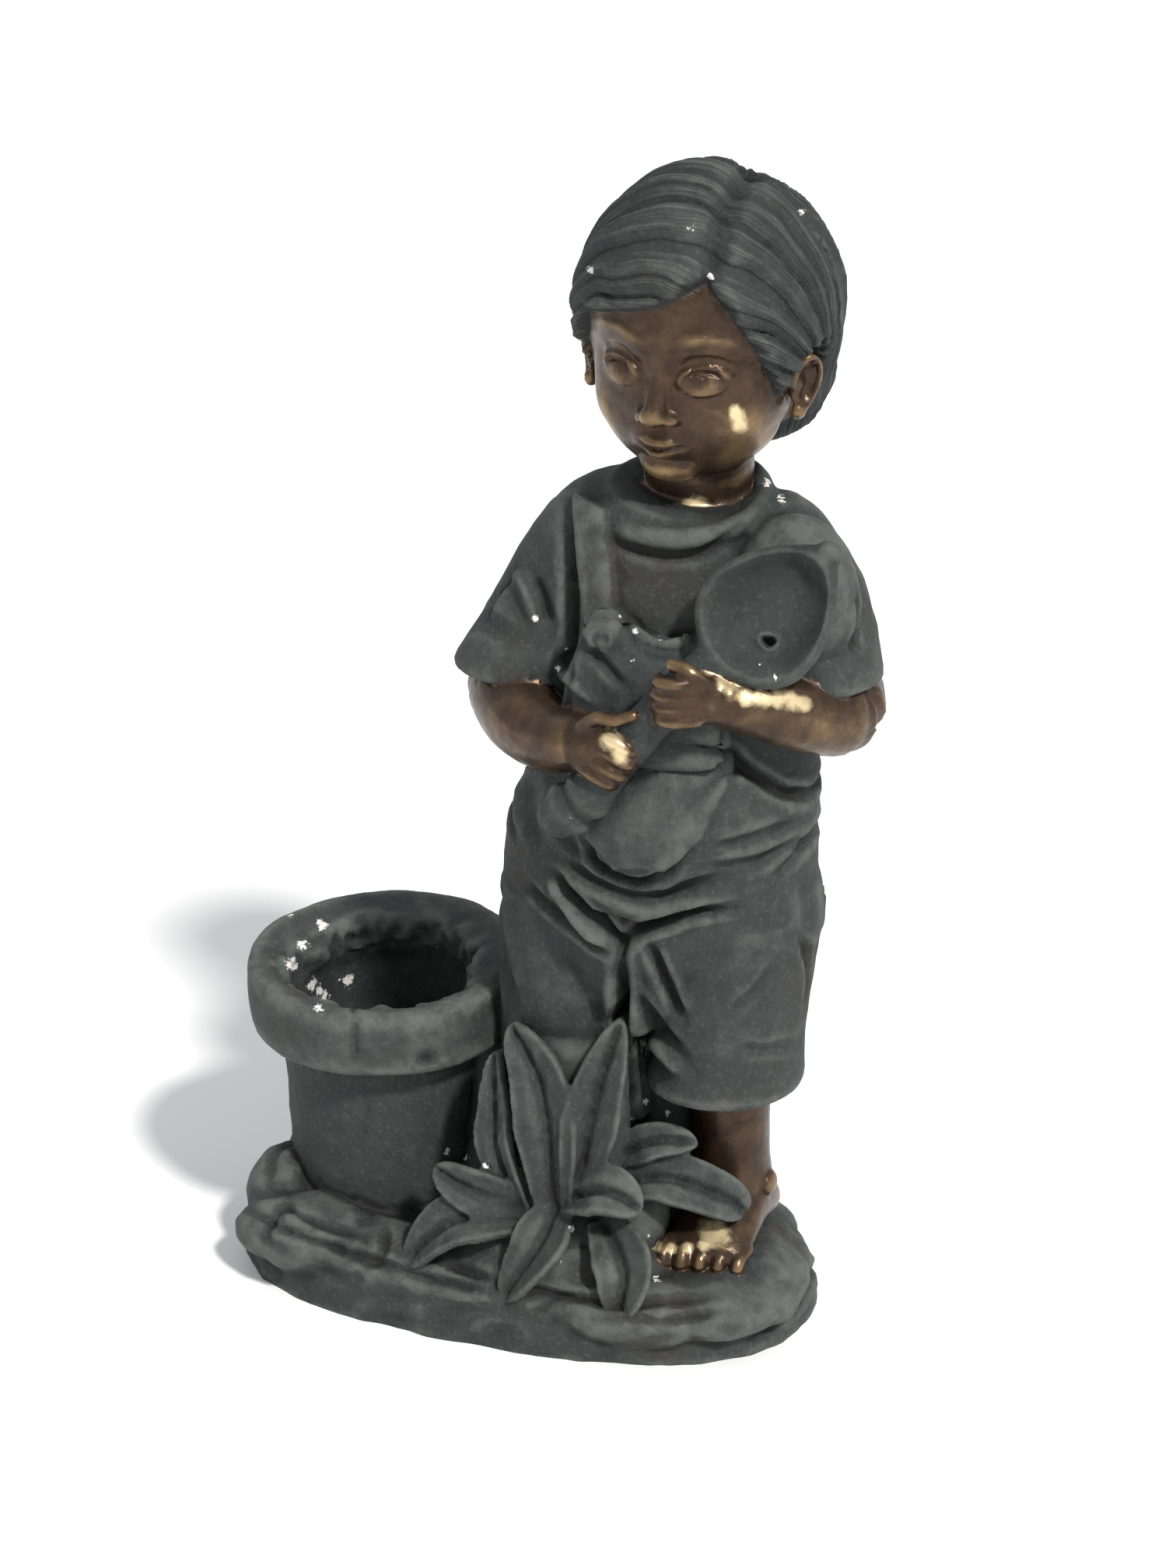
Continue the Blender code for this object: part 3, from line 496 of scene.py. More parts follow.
def fold_trousers(clay):
    """The folds that hang from the belly and the hips, and the split between the legs."""
    clay.stroke([(11.1, 35.6), (11.3, 29.8), (11.2, 26.8), (11.4, 23.5), (12.0, 18.0)], 0.55, 2.3)
    clay.patch([(8.4, 38.6), (9.9, 36.4), (11.1, 34.4), (12.0, 36.2), (14.8, 38.2), (11.9, 37.9)],
               -1.3, 0.8)
    clay.stroke([(5.1, 41.5), (6.5, 40.1), (8.1, 38.4), (9.9, 36.4), (11.1, 35.2)], 0.45, 1.7)
    clay.stroke([(11.3, 35.8), (13.5, 37.7), (14.8, 38.3), (17.1, 39.6), (21.0, 40.6)], 0.45, 1.4)
    clay.stroke([(8.0, 46.2), (8.7, 43.4), (10.4, 42.1), (12.6, 41.7), (14.8, 42.7), (17.0, 45.2)],
                0.4, 1.2)
    clay.stroke([(5.8, 42.6), (8.4, 40.4), (11.0, 39.4), (13.2, 39.3), (17.0, 40.4), (22.0, 42.4)],
                0.6, -0.5)
    clay.stroke([(5.2, 43.4), (7.4, 42.0), (10.0, 40.9), (13.4, 40.6), (18.0, 42.4), (25.0, 45.8)],
                0.45, 0.6)
    clay.stroke([(4.9, 41.6), (5.9, 39.6), (8.0, 37.2), (9.8, 35.4)], 0.5, -0.5)
    clay.stroke([(2.4, 40.6), (4.1, 38.9), (6.5, 37.0), (9.2, 35.4), (11.0, 34.4)], 0.4, 0.7)
    clay.stroke([(-0.4, 39.4), (0.4, 34.6), (1.6, 28.0)], 0.5, 0.8)
    clay.stroke([(5.6, 36.2), (7.8, 32.2), (10.4, 29.0)], 0.9, 0.25)
    clay.stroke([(5.0, 24.9), (7.2, 24.0), (9.8, 26.6)], 0.7, 0.6)
    clay.stroke([(13.5, 36.6), (15.3, 32.8), (16.6, 30.0)], 0.45, 1.1)
    clay.stroke([(11.5, 30.2), (13.1, 28.7), (15.4, 26.2), (16.6, 24.6)], 0.55, -0.8)
    clay.stroke([(12.3, 31.8), (14.2, 29.6), (16.6, 26.8)], 0.45, 0.7)
    clay.stroke([(24.6, 36.4), (22.4, 33.1), (20.4, 31.0)], 0.35, 0.25)
    clay.stroke([(26.4, 29.4), (23.8, 28.4), (21.4, 28.2)], 0.45, 0.3)
    clay.stroke([(16.0, 54.6), (19.9, 54.2), (21.5, 52.9), (24.8, 51.3), (27.9, 50.9)], 0.55, 0.8)
    clay.stroke([(18.4, 45.4), (22.4, 47.0), (26.6, 49.4)], 0.45, 0.45)
    clay.stroke([(17.6, 43.4), (22.8, 45.2), (27.4, 48.0)], 0.45, 0.5)
    clay.stroke([(17.0, 49.4), (19.6, 51.8), (21.4, 53.2)], 0.5, 0.3)
    clay.stroke([(26.8, 44.4), (27.2, 41.4), (27.2, 38.0)], 0.6, 0.3)
    clay.stroke([(4.8, 47.4), (6.4, 44.8), (8.0, 42.4)], 0.6, 0.45)
    clay.stroke([(3.2, 50.4), (3.2, 46.6), (4.0, 43.0)], 0.7, 0.4)
    clay.stroke([(12.4, 22.6), (18.0, 21.9), (24.0, 23.1), (26.6, 24.9)], 0.28, 0.12, bank=0.6)
    clay.write()


def fold_shirt(clay):
    """The bib and its strap, the crease beside the arm, the neckband's edge and the sleeves' folds."""
    clay.stroke([(6.8, 73.2), (6.9, 67.3), (6.7, 62.2), (6.2, 60.4), (5.2, 58.4)], 0.5, 1.7, bank=0.1)
    clay.patch([
        (7.5, 60.4), (9.6, 64.4), (11.1, 64.7), (12.3, 63.3), (14.4, 62.6), (16.4, 62.9), (18.0, 63.6),
        (19.9, 58.4), (20.4, 52.0), (18.0, 46.4), (14.8, 43.2), (10.6, 42.6), (7.6, 46.0), (6.6, 52.0),
    ], 0.6, 0.7)
    clay.stroke([(11.1, 64.9), (12.3, 63.3), (14.4, 62.5), (16.4, 62.8), (18.0, 63.5)], 0.3, -0.3, bank=0.8)
    clay.stroke([(11.4, 63.1), (12.7, 61.8), (14.4, 61.2), (18.0, 62.1)], 0.22, 0.2)
    clay.write()
    clay.patch([(7.3, 74.0), (9.9, 73.0), (10.5, 68.6), (10.8, 65.0), (11.0, 63.4), (10.5, 61.7),
                (9.5, 61.0), (8.5, 61.4), (8.1, 62.8), (7.8, 68.0)], 0.8, 0.6)
    clay.stroke([(9.4, 71.4), (11.0, 70.4), (13.5, 69.9), (15.8, 69.9), (18.4, 70.8), (21.0, 73.2)],
                0.4, 0.6, bank=0.1)
    clay.write()
    button = [
        (9.3 + 0.6 * math.cos(a), 62.1 + 0.6 * math.sin(a)) for a in np.linspace(0, 2 * math.pi, 9)
    ]
    clay.stroke(button, 0.17, 0.3, bank=0, ends=1)
    clay.stroke([(2.0, 67.6), (2.9, 65.9), (3.5, 64.2), (4.0, 62.6)], 0.55, -0.5)
    clay.stroke([(3.6, 67.2), (4.4, 65.2), (4.9, 63.0)], 0.5, 0.4)
    clay.stroke([(-3.0, 62.6), (-0.4, 62.6), (2.2, 61.2)], 0.8, 0.3)
    clay.stroke([(6.6, 61.4), (5.9, 59.5), (7.2, 58.0), (9.2, 56.5)], 0.35, -0.5, bank=0)
    clay.stroke([(8.3, 61.4), (9.7, 60.2), (11.6, 58.2)], 0.45, 0.5)
    clay.write()


def fold_hidden_sides(clay):
    """Plainer folds on the back, and on the two sides."""
    behind = (-5, 40)
    clay.stroke([(12.2, 37.0), (12.2, 30.0), (12.2, 22.0)], 0.7, 1.6, BACK, behind)
    clay.stroke([(12.4, 47.0), (12.2, 42.0), (12.2, 37.0)], 0.5, 0.9, BACK, behind)
    for side in (-1, 1):
        for x, path, width, depth in (
            (12.2, [(1.5, 37.6), (5, 36.4), (10, 39.0 + side)], 0.7, 0.6),
            (12.2, [(2, 51.0 + side), (7, 48.6), (11, 49.6)], 0.8, 0.4),
            (12.2, [(2, 32.0), (6, 28.8 - side), (10, 26.6)], 0.8, 0.4),
            (12.8, [(5, 66.4), (7, 62.0), (8, 57.0)], 0.5, 0.6),
        ):
            clay.stroke([(x + out * side, z) for out, z in path], width, depth, BACK, behind)
    clay.stroke([(8.6, 55.8), (12.8, 55.0), (17.4, 55.8)], 0.3, 0.5, BACK, behind)
    for sight, near in ((LEFT, (-30, 8)), (RIGHT, (14, 50))):
        for path, width, depth in (
            ([(-4.0, 50.6), (0.0, 49.4), (4.0, 50.8)], 0.5, 0.6),
            ([(-5.0, 43.4), (-1.0, 45.4), (3.0, 46.0)], 0.5, 0.6),
            ([(-3.0, 38.0), (0.0, 34.0), (1.0, 29.4)], 0.5, 0.6),
            ([(4.4, 39.4), (3.8, 35.0), (4.4, 30.4)], 0.5, 0.6),
            ([(3.6, 68.0), (3.2, 64.6), (3.8, 61.4)], 0.45, 0.5),
            ([(-2.4, 67.0), (-2.0, 64.0), (-2.6, 61.4)], 0.45, 0.5),
        ):
            clay.stroke(path, width, depth, sight, near)
    clay.write()


def model_clothes():
    """The overalls and the shirt with their folds."""
    lumps = Lumps("clothes")
    shape_trousers(lumps)
    shape_chest(lumps)
    shape_sleeves(lumps)
    clay = lumps.fuse(0.26, 3)
    fold_trousers(clay)
    fold_shirt(clay)
    fold_hidden_sides(clay)
    clay.roughen(5.0, 0.12)
    clay.roughen(1.3, 0.05, 7.0)
    clay.write()
    return clay


def finger(clay, spots, size):
    """A finger through its knuckles, thickest at the middle one."""
    rows = []
    for i, spot in enumerate(spots):
        thick = size * (1.0, 1.06, 0.94, 0.8)[min(i, 3)]
        rows.append((*spot, thick, thick))
    clay.loft(rows, sides=16)


def model_arms():
    """The bare forearms and the two hands that hold the shaft."""
    clay = Lumps("arms")
    clay.loft([
        (1.4, 0.8, 61.0, 3.4, 3.6),
        (-0.9, -0.2, 55.8, 3.7, 3.7),
        (1.8, -4.8, 54.2, 3.5, 3.4),
        (5.8, -8.6, 54.0, 2.9, 2.8),
        (8.6, -10.6, 54.8, 2.3, 2.4),
    ])
    clay.loft([
        (24.4, 1.4, 61.6, 3.6, 3.6),
        (27.4, 0.2, 56.4, 3.6, 3.7),
        (25.6, -5.0, 57.4, 3.1, 3.1),
        (22.8, -8.8, 59.0, 2.5, 2.4),
        (20.6, -10.6, 59.8, 2.1, 2.1),
    ])
    clay.ball((10.5, -11.4, 55.0), (2.5, 1.8, 2.9), (0, 25, 0))
    for i, (x, z) in enumerate(((14.1, 55.5), (13.8, 54.4), (13.1, 53.3), (12.3, 52.5))):
        finger(clay, [(x - 2.8, -12.2, z + 0.9), (x - 1.3, -13.1, z + 0.6), (x - 0.2, -12.9, z),
                      (x + 0.1, -12.0, z - 0.4)], 0.62 - 0.03 * i)
    finger(clay, [(9.6, -12.2, 56.8), (11.2, -12.9, 57.9), (12.8, -13.2, 58.1), (14.2, -12.9, 58.5)], 0.56)
    clay.ball((19.4, -11.5, 60.3), (2.5, 1.8, 2.3))
    for i in range(4):
        z = 61.7 - 0.98 * i
        x = 15.9 + 0.2 * abs(i - 1.3)
        finger(clay, [(x + 3.2, -12.9, z + 0.1), (x + 1.5, -13.7, z), (x + 0.2, -13.1, z - 0.1),
                      (x - 0.2, -11.8, z - 0.2)], 0.6)
    finger(clay, [(20.2, -12.4, 61.6), (18.8, -12.9, 62.7), (17.4, -12.7, 63.0)], 0.62)
    clay.ball((21.6, -11.9, 60.8), (0.8, 0.8, 0.8))
    made = clay.fuse(0.17, 2)
    made.roughen(1.0, 0.03, 3.0)
    made.write()
    return made


def blade_frame():
    """The middle of the shovel's blade, and its outward, lengthwise and sideways directions."""
    out = unit(BLADE_FACING)
    long_way = np.array(BLADE_POINTS_ALONG)
    long_way = unit(long_way - out * (long_way @ out))
    return np.array(BLADE_PLACE), out, long_way, np.cross(long_way, out)


def hollow_blade(clay):
    """Sinks the bowl into the blade's outer face."""
    middle, out, long_way, wide_way = blade_frame()
    offset = clay.spots - middle
    t = offset @ long_way / BLADE_HALF_LENGTH
    half = BLADE_HALF_WIDTH * (1 - BLADE_TAPER * t)
    reach = np.sqrt((offset @ wide_way / half) ** 2 + t**2) / BOWL_SHARE
    bowl = np.clip(1 - reach**5, 0, 1) * (np.abs(offset @ out) < BOWL_REACH)
    bowl *= np.clip(clay.ways @ out * 2, 0, 1)
    clay.spots -= np.outer(bowl * BOWL_DEPTH, out)
    clay.write()


def model_shovel():
    """The stout shaft with its grooved grip and end knob, and the hollow egg-shaped blade."""
    clay = Lumps("shovel")
    shaft = [
        (7.3, -10.9, 48.3, 1.9, 1.8),
        (8.3, -11.0, 49.2, 2.3, 2.2),
        (9.0, -11.1, 49.9, 1.7, 1.7),
        (9.8, -11.2, 50.6, 2.2, 2.1),
        (10.6, -11.2, 51.6, 1.8, 1.8),
        (13.0, -11.4, 55.0, 1.8, 1.8),
        (17.4, -11.2, 60.4, 1.7, 1.7),
        (20.8, -9.8, 63.4, 1.7, 1.6),
    ]
    clay.loft(shaft, steps=6)
    middle, out, long_way, _ = blade_frame()
    rows = []
    for t in np.linspace(-1, 1, 11):
        half = BLADE_HALF_WIDTH * math.sqrt(max(1 - t * t, 0.1)) * (1 - BLADE_TAPER * t)
        spot = middle + long_way * (t * BLADE_HALF_LENGTH) - out * (BLADE_BEND * (1 - t * t))
        rows.append((*spot, half, BLADE_THICK))
    clay.loft(rows, facing=tuple(out), sides=36, steps=3)
    made = clay.fuse(0.2, 2)
    hollow_blade(made)
    made.stroke([(23.0, 63.9), (23.3, 63.6), (23.6, 63.9), (23.2, 63.9)], 0.25, 1.1, bank=0.2, ends=1)
    made.roughen(1.6, 0.08, 5.0)
    made.write()
    return made


def model_foot():
    """The bare left ankle and the foot with its five toes."""
    clay = Lumps("foot")
    clay.loft([
        (18.0, 1.8, 25.0, 3.5, 3.8),
        (18.1, 2.0, 15.0, 3.3, 3.5),
        (18.2, 2.4, 11.4, 3.3, 3.9),
    ])
    clay.loft([
        (18.6, 5.4, 7.8, 3.0, 2.4),
        (18.4, 1.8, 8.9, 3.3, 3.2),
        (18.2, -1.6, 8.2, 3.6, 2.4),
        (18.0, -4.2, 7.3, 3.8, 1.7),
    ], facing=(0, 0, 1))
    clay.ball((21.3, 2.2, 11.0), (0.9, 1.3, 1.2))
    clay.ball((15.2, 2.0, 11.4), (0.9, 1.3, 1.2))
    for i in range(5):
        size = 1.15 - 0.09 * i
        x = 14.8 + 1.6 * i
        y = -5.8 + 0.2 * i
        clay.loft([
            (x + 0.2, y + 1.4, 7.4, 0.74 * size, 0.85 * size),
            (x, y - 0.1, 7.1, 0.78 * size, 0.92 * size),
            (x, y - 0.7, 6.6, 0.72 * size, 0.78 * size),
        ], facing=(0, 0, 1), sides=16)
    made = clay.fuse(0.17, 2)
    made.roughen(1.0, 0.03, 4.0)
    made.write()
    return made


def leaf(clay, spine, wide, facing, seed):
    """A leaf along a spine, folded at its midrib, with side veins, a wavy edge and a pointed tip."""
    thick = 1.3
    rows = smooth_rows(spine, 10)
    along = np.gradient(rows, axis=0)
    along /= np.linalg.norm(along, axis=1)[:, None]
    sides = np.linspace(-1, 1, 19)
    rings = []
    for s, spot, way in zip(np.linspace(0, 1, len(rows)), rows, along):
        out = np.array(facing, float)
        out = unit(out - way * (out @ way))
        wide_way = np.cross(way, out)
        half = max(wide * min(1, 0.5 + 1.3 * s) * math.sqrt(max(1 - s**2.6, 0)), 0.25)
        wave = 0.15 * np.sin(6 * s + seed + np.sign(sides)) * sides**2
        veins = 0.05 * np.cos(2 * math.pi * (6 * s - 1.5 * np.abs(sides))) * (1 - sides**2)
        rim = 0.35 * np.exp(-(((np.abs(sides) - 0.92) / 0.12) ** 2))
        panel = 0.75 * np.abs(sides) ** 0.7 + 0.35 * np.sin(math.pi * np.abs(sides))
        rib = 0.5 * np.exp(-((sides * half / 0.28) ** 2))
        lift = (panel + rim + wave) * min(half / 2, 1) + veins - rib
        face = np.array([spot + wide_way * (half * t) + out * h for t, h in zip(sides, lift)])
        back = face - out * thick * (1.3 - 0.6 * np.abs(sides[:, None]))
        rings.append(np.vstack([face, back[::-1]]))
    clay.skin(rings)


def model_plant():
    """The plant in front of the right leg: three leaves stand up against it and the others droop."""
    clay = Lumps("plant")
    clay.ball((6.4, -4.8, 7.8), (6.2, 5.0, 4.6))
    clay.ball((10.2, -4.0, 8.8), (4.2, 4.6, 5.0))
    clay.ball((3.0, -6.0, 8.6), (5.6, 3.8, 4.0))
    clay.loft([(5.6, -4.4, 8.0, 6.0, 4.3), (5.4, -4.6, 15.0, 5.8, 4.0), (5.8, -4.2, 23.5, 5.0, 3.0)])
    clay.loft([(4.9, 2.0, 20.0, 6.2, 5.6), (4.9, 2.0, 12.0, 5.8, 5.4), (5.0, 1.6, 6.0, 6.6, 6.6)])
    clay.loft([(11.4, 3.0, 24.0, 3.4, 3.6), (11.4, 3.0, 12.0, 3.6, 4.0), (11.4, 2.6, 6.0, 5.0, 5.2)])
    clay.loft([(-3.4, 2.6, 24.0, 3.0, 3.2), (-3.4, 2.6, 12.0, 3.4, 4.0), (-3.4, 2.2, 6.0, 5.0, 6.0)])
    upright = (0.1, -1, 0.2)
    drooping = (0, -0.6, 0.8)
    leaf(clay, [(5.8, -8.4, 10.2), (5.4, -8.7, 17.7), (4.1, -8.0, 23.2), (1.3, -7.0, 27.0)], 2.9,
         upright, 0)
    leaf(clay, [(3.2, -8.6, 9.8), (0.7, -8.4, 15.6), (0.2, -7.6, 19.6), (-0.3, -6.8, 24.0)], 1.9,
         (-0.3, -1, 0.2), 1)
    leaf(clay, [(7.7, -8.2, 11.2), (8.7, -8.2, 18.4), (9.6, -7.4, 23.3), (11.0, -6.6, 28.6)], 2.6,
         (0.2, -1, 0.2), 2)
    leaf(clay, [(4.2, -8.4, 10.0), (-0.8, -9.8, 12.0), (-4.8, -9.8, 13.7)], 2.2, (-0.2, -0.9, 0.5), 3)
    leaf(clay, [(4.4, -8.6, 10.0), (-1.9, -11.2, 9.8), (-6.9, -11.8, 4.8)], 2.7, drooping, 4)
    leaf(clay, [(6.2, -8.4, 11.6), (5.5, -11.8, 8.8), (2.6, -12.8, 3.8)], 2.6, drooping, 5)
    leaf(clay, [(7.0, -8.4, 11.8), (11.0, -10.2, 14.4), (14.2, -10.0, 13.2)], 2.5, drooping, 6)
    leaf(clay, [(9.8, -6.2, 12.4), (14.6, -5.6, 14.0), (19.4, -4.2, 12.4), (21.2, -3.2, 10.6)], 2.4,
         (0, -0.75, 0.65), 7)
    leaf(clay, [(10.0, -8.2, 10.6), (13.1, -11.4, 8.0), (12.9, -12.2, 3.6)], 2.7, drooping, 8)
    leaf(clay, [(9.6, -5.2, 14.6), (13.4, -5.0, 17.0), (17.0, -4.0, 17.2)], 1.8, (0, -0.8, 0.6), 9)
    made = clay.fuse(0.22, 1)
    made.roughen(1.2, 0.05, 9.0)
    made.write()
    return made


def model_base():
    """The rounded rocky slab, with clefts between its rocks."""
    clay = Lumps("base")
    corner = 2 / BASE_SQUARENESS
    rings = []
    for share, level in ((1.0, -0.4), (1.0, 0.0), (0.995, 0.4), (0.97, 0.72), (0.91, 0.92), (0.75, 1.02)):
        ring = []
        for angle in angles_round(72):
            x = math.copysign(abs(math.cos(angle)) ** corner, math.cos(angle))
            y = math.copysign(abs(math.sin(angle)) ** corner, math.sin(angle))
            deep = share * BASE_HALF_DEPTH * y
            long = share * BASE_HALF_LENGTH * x + BASE_SKEW * deep
            ring.append((long, deep, GROUND + level * BASE_THICK))
        rings.append(ring)
    clay.skin(rings)
    clay.ball((0, 0, BASE_TOP - 0.8), (0.9 * BASE_HALF_LENGTH, 0.86 * BASE_HALF_DEPTH, 2.0))
    clay.ball((5.0, -5.0, 4.0), (12.0, 7.8, 5.8))
    for x, y, drop, rx, ry, rz in (
        (-0.84, -0.22, 0.6, 3.5, 5.0, 4.0),
        (-0.86, 0.34, 0.8, 2.6, 4.6, 3.4),
        (-0.66, -0.56, 1.6, 7.4, 5.0, 3.4),
        (-0.30, -0.66, 2.0, 8.6, 4.4, 3.2),
        (0.46, -0.66, 2.2, 8.4, 4.6, 3.0),
        (0.74, -0.20, 2.0, 7.3, 8.6, 3.2),
        (-0.50, 0.60, 2.0, 8.0, 5.0, 3.0),
        (0.10, 0.66, 2.4, 9.0, 4.4, 3.0),
        (0.56, 0.56, 2.4, 8.0, 5.0, 3.0),
    ):
        clay.ball((x * BASE_HALF_LENGTH, y * BASE_HALF_DEPTH, BASE_TOP - drop), (rx, ry, rz))
    made = clay.fuse(0.34, 3)
    cleave(made)
    return made


def cleave(clay):
    """Low layers that run slantwise round the rock, and a few clefts across them."""
    for path, width, depth in (
        ([(-25.0, 5.0), (-20.0, 3.2), (-12.0, 1.6), (-4.0, 0.9), (4.0, 1.4)], 0.55, 0.55),
        ([(-21.0, 5.6), (-17.0, 4.4), (-12.4, 3.9)], 0.45, 0.4),
        ([(-8.0, 3.4), (-1.0, 2.0), (7.0, 1.7), (15.0, 3.0), (21.0, 5.0)], 0.5, 0.5),
        ([(-13.4, 0.0), (-11.0, 2.6), (-10.6, 5.4)], 0.4, 0.45),
        ([(3.0, -0.8), (5.6, 1.4), (9.4, 2.2)], 0.4, 0.4),
        ([(-22.6, 1.4), (-21.6, 4.0), (-18.6, 6.4)], 0.5, 0.6),
        ([(12.0, 0.6), (16.0, 1.4), (21.0, 3.4)], 0.4, 0.4),
    ):
        clay.stroke(path, width, depth, near=(-40, 2))
    for path in ([(-20.0, 2.0), (-8.0, 3.2), (6.0, 2.2), (20.0, 3.6)], [(-12.0, 0.4), (-10.6, 5.0)],
                 [(8.0, 0.0), (9.4, 5.0)]):
        clay.stroke(path, 0.5, 0.5, BACK, (-2, 40))
    for sight, near in ((LEFT, (-40, -14)), (RIGHT, (14, 40))):
        clay.stroke([(-9.0, 2.0), (0.0, 3.2), (9.0, 2.2)], 0.5, 0.5, sight, near)
    clay.write()
    rock = np.abs(grain(clay.spots * (1, 1, 1.8), 5.0, 2.0)) - 0.25
    layers = np.abs(grain(clay.spots * (0.6, 0.6, 2.0), 2.4, 4.0)) - 0.2
    fine = grain(clay.spots, 1.1, 6.0)
    clay.spots -= clay.ways * (0.6 * rock + 0.22 * layers + 0.08 * fine)[:, None]
    clay.write()


def pot_profile():
    """Half of the pot's section, from the middle of its foot round the rim to the middle of its floor."""
    lip = POT_HEIGHT
    rim = lip - POT_RIM_HEIGHT
    body, wide, mouth = POT_BODY_RADIUS, POT_RIM_RADIUS, POT_MOUTH_RADIUS
    inner = body - POT_WALL
    floor = POT_FOOT_RADIUS - POT_WALL
    return [
        (0.0, -1.6), (POT_FOOT_RADIUS, -1.6), (POT_FOOT_RADIUS, 3.0), (body - 0.2, rim - 3.0),
        (body, rim - 0.6), (body + 0.3, rim - 0.1), (wide - 0.5, rim), (wide - 0.1, rim + 0.15),
        (wide + 0.05, rim + 0.6), (wide + 0.15, rim + 3.0), (wide + 0.05, lip - 0.5),
        (wide - 0.1, lip - 0.12), (wide - 0.6, lip), (mouth + 1.0, lip - 0.1), (mouth + 0.3, lip - 0.25),
        (mouth, lip - 0.7), (mouth - 0.2, lip - 2.4), (inner, rim), (floor, POT_FLOOR + 0.8),
        (0.8 * floor, POT_FLOOR), (0.0, POT_FLOOR),
    ]


def model_pot():
    """The pot, spun from its section, with a broad rim and a worn ragged mouth."""
    profile = pot_profile()
    rows = []
    for (r1, z1), (r2, z2) in zip(profile, profile[1:]):
        steps = max(1, round(math.dist((r1, z1), (r2, z2)) / POT_STEP))
        rows += [(r1 + (r2 - r1) * i / steps, z1 + (z2 - z1) * i / steps) for i in range(steps)]
    rows.append(profile[-1])
    mesh = bpy.data.meshes.new("pot")
    mesh.from_pydata([(r, 0, z) for r, z in rows], [(i, i + 1) for i in range(len(rows) - 1)], [])
    pot = add_object("pot", mesh)
    make_active(pot)
    bpy.ops.object.mode_set(mode="EDIT")
    bpy.ops.mesh.select_all(action="SELECT")
    bpy.ops.mesh.spin(steps=POT_SEGMENTS, angle=2 * math.pi, center=(0, 0, 0), axis=(0, 0, 1))
    bpy.ops.mesh.select_all(action="SELECT")
    bpy.ops.mesh.remove_doubles(threshold=0.001)
    bpy.ops.mesh.normals_make_consistent(inside=False)
    bpy.ops.object.mode_set(mode="OBJECT")
    apply_modifier(pot, "Rub", "SMOOTH", factor=0.5, iterations=1)
    clay = Clay(pot)
    wear_mouth(clay)
    clay.turn(Matrix.Translation(POT_PLACE) @ Matrix.Rotation(math.radians(POT_LEAN_DEG), 4, "X"))
    crack_pot(clay)
    return clay


def wear_mouth(clay):
    """Moves the mouth forward, breaks its edge unevenly, and makes the rim a little uneven."""
    spots = clay.spots
    radius = np.hypot(spots[:, 0], spots[:, 1])
    angle = np.arctan2(spots[:, 1], spots[:, 0])
    round_way = np.stack([np.cos(angle), np.sin(angle), 0 * angle], 1)
    upper = eased((spots[:, 2] - (POT_HEIGHT - 5)) / 3)
    mouth = upper * eased((POT_MOUTH_RADIUS + 2.6 - radius) / 2.4)
    spots[:, 1] -= POT_MOUTH_FORWARD * mouth
    ragged = grain(round_way * 2.6, 1.0, 8.0) * 0.9 + grain(clay.spots, 0.9, 3.0) * 0.6
    clay.spots += round_way * (mouth * ragged)[:, None]
    clay.spots[:, 2] -= mouth * (0.3 + 0.6 * grain(clay.spots, 2.4, 5.0))
    rim = eased((spots[:, 2] - (POT_HEIGHT - POT_RIM_HEIGHT - 0.5)) / 1.0) * (radius > POT_BODY_RADIUS)
    clay.spots += round_way * (rim * 0.3 * grain(round_way * 2.2, 1.0, 1.0))[:, None]
    clay.write()


def crack_pot(clay):
    """The seam and the cracks in the rim and the body, a chipped rim edge, and small uneven lumps."""
    clay.stroke([(-13.2, 27.4), (-12.9, 24.4), (-13.0, 21.4)], 0.22, 0.45, near=(-40, -3), ends=1)
    clay.stroke([(-11.8, 18.2), (-12.2, 14.6), (-13.4, 11.4)], 0.18, 0.3, near=(-40, -1))
    clay.patch([(-7.2, 22.6), (-5.6, 23.0), (-5.6, 21.6), (-6.8, 21.4)], -0.5, 0.5, near=(-40, -3))
    clay.roughen(3.2, 0.14, 2.0)
    clay.roughen(0.9, 0.05, 4.0)
    clay.write()


# The hairline: angle round the head from the front in degrees, and its height on the head
HAIRLINE = (
    (-180, -10.6), (-140, -10.2), (-112, -8.0), (-94, -1.6), (-80, -4.8), (-66, -2.0), (-50, 1.4),
    (-25, 2.6), (0, 3.6), (18, 4.8), (28, 5.4), (40, 3.0), (54, -0.6), (66, -4.4), (76, -1.6), (92, -1.0),
    (106, -8.6), (140, -10.6), (180, -10.8),
)
PARTING_X = 3.9
CROWN = (2.2, 4.6)
LOCKS = 12
LOCK_DEPTH = 1.0
HAIR_THICK = 1.3
PARTING_DEPTH = 0.9
PARTING_WIDTH = 0.8
HAIR_MIDDLE = np.array((0.2, 1.2, 0.4))
HAIR_SIZE = np.array((9.0, 10.0, 9.7))

# The masses of hair behind the ears and on the nape: middle and half sizes
HAIR_MASSES = (((0.3, 4.0, -4.6), (9.3, 5.4, 6.8)), ((0.3, 4.6, -7.4), (8.0, 4.8, 5.0)))
HAIR_LOWEST = -10.0

# Where the ears are: past this far out, and about this middle and half size in depth and height
EAR_OUT = 8.3
EAR_MIDDLE = (-1.3, -4.0)
EAR_HALF = (1.7, 2.8)


def parting(spots):
    """How far to the side the parting runs: it slants from the forehead to the crown."""
    back = np.clip((spots[:, 1] + 9) / (CROWN[1] + 9), 0, 1)
    return PARTING_X + (CROWN[0] - PARTING_X) * back


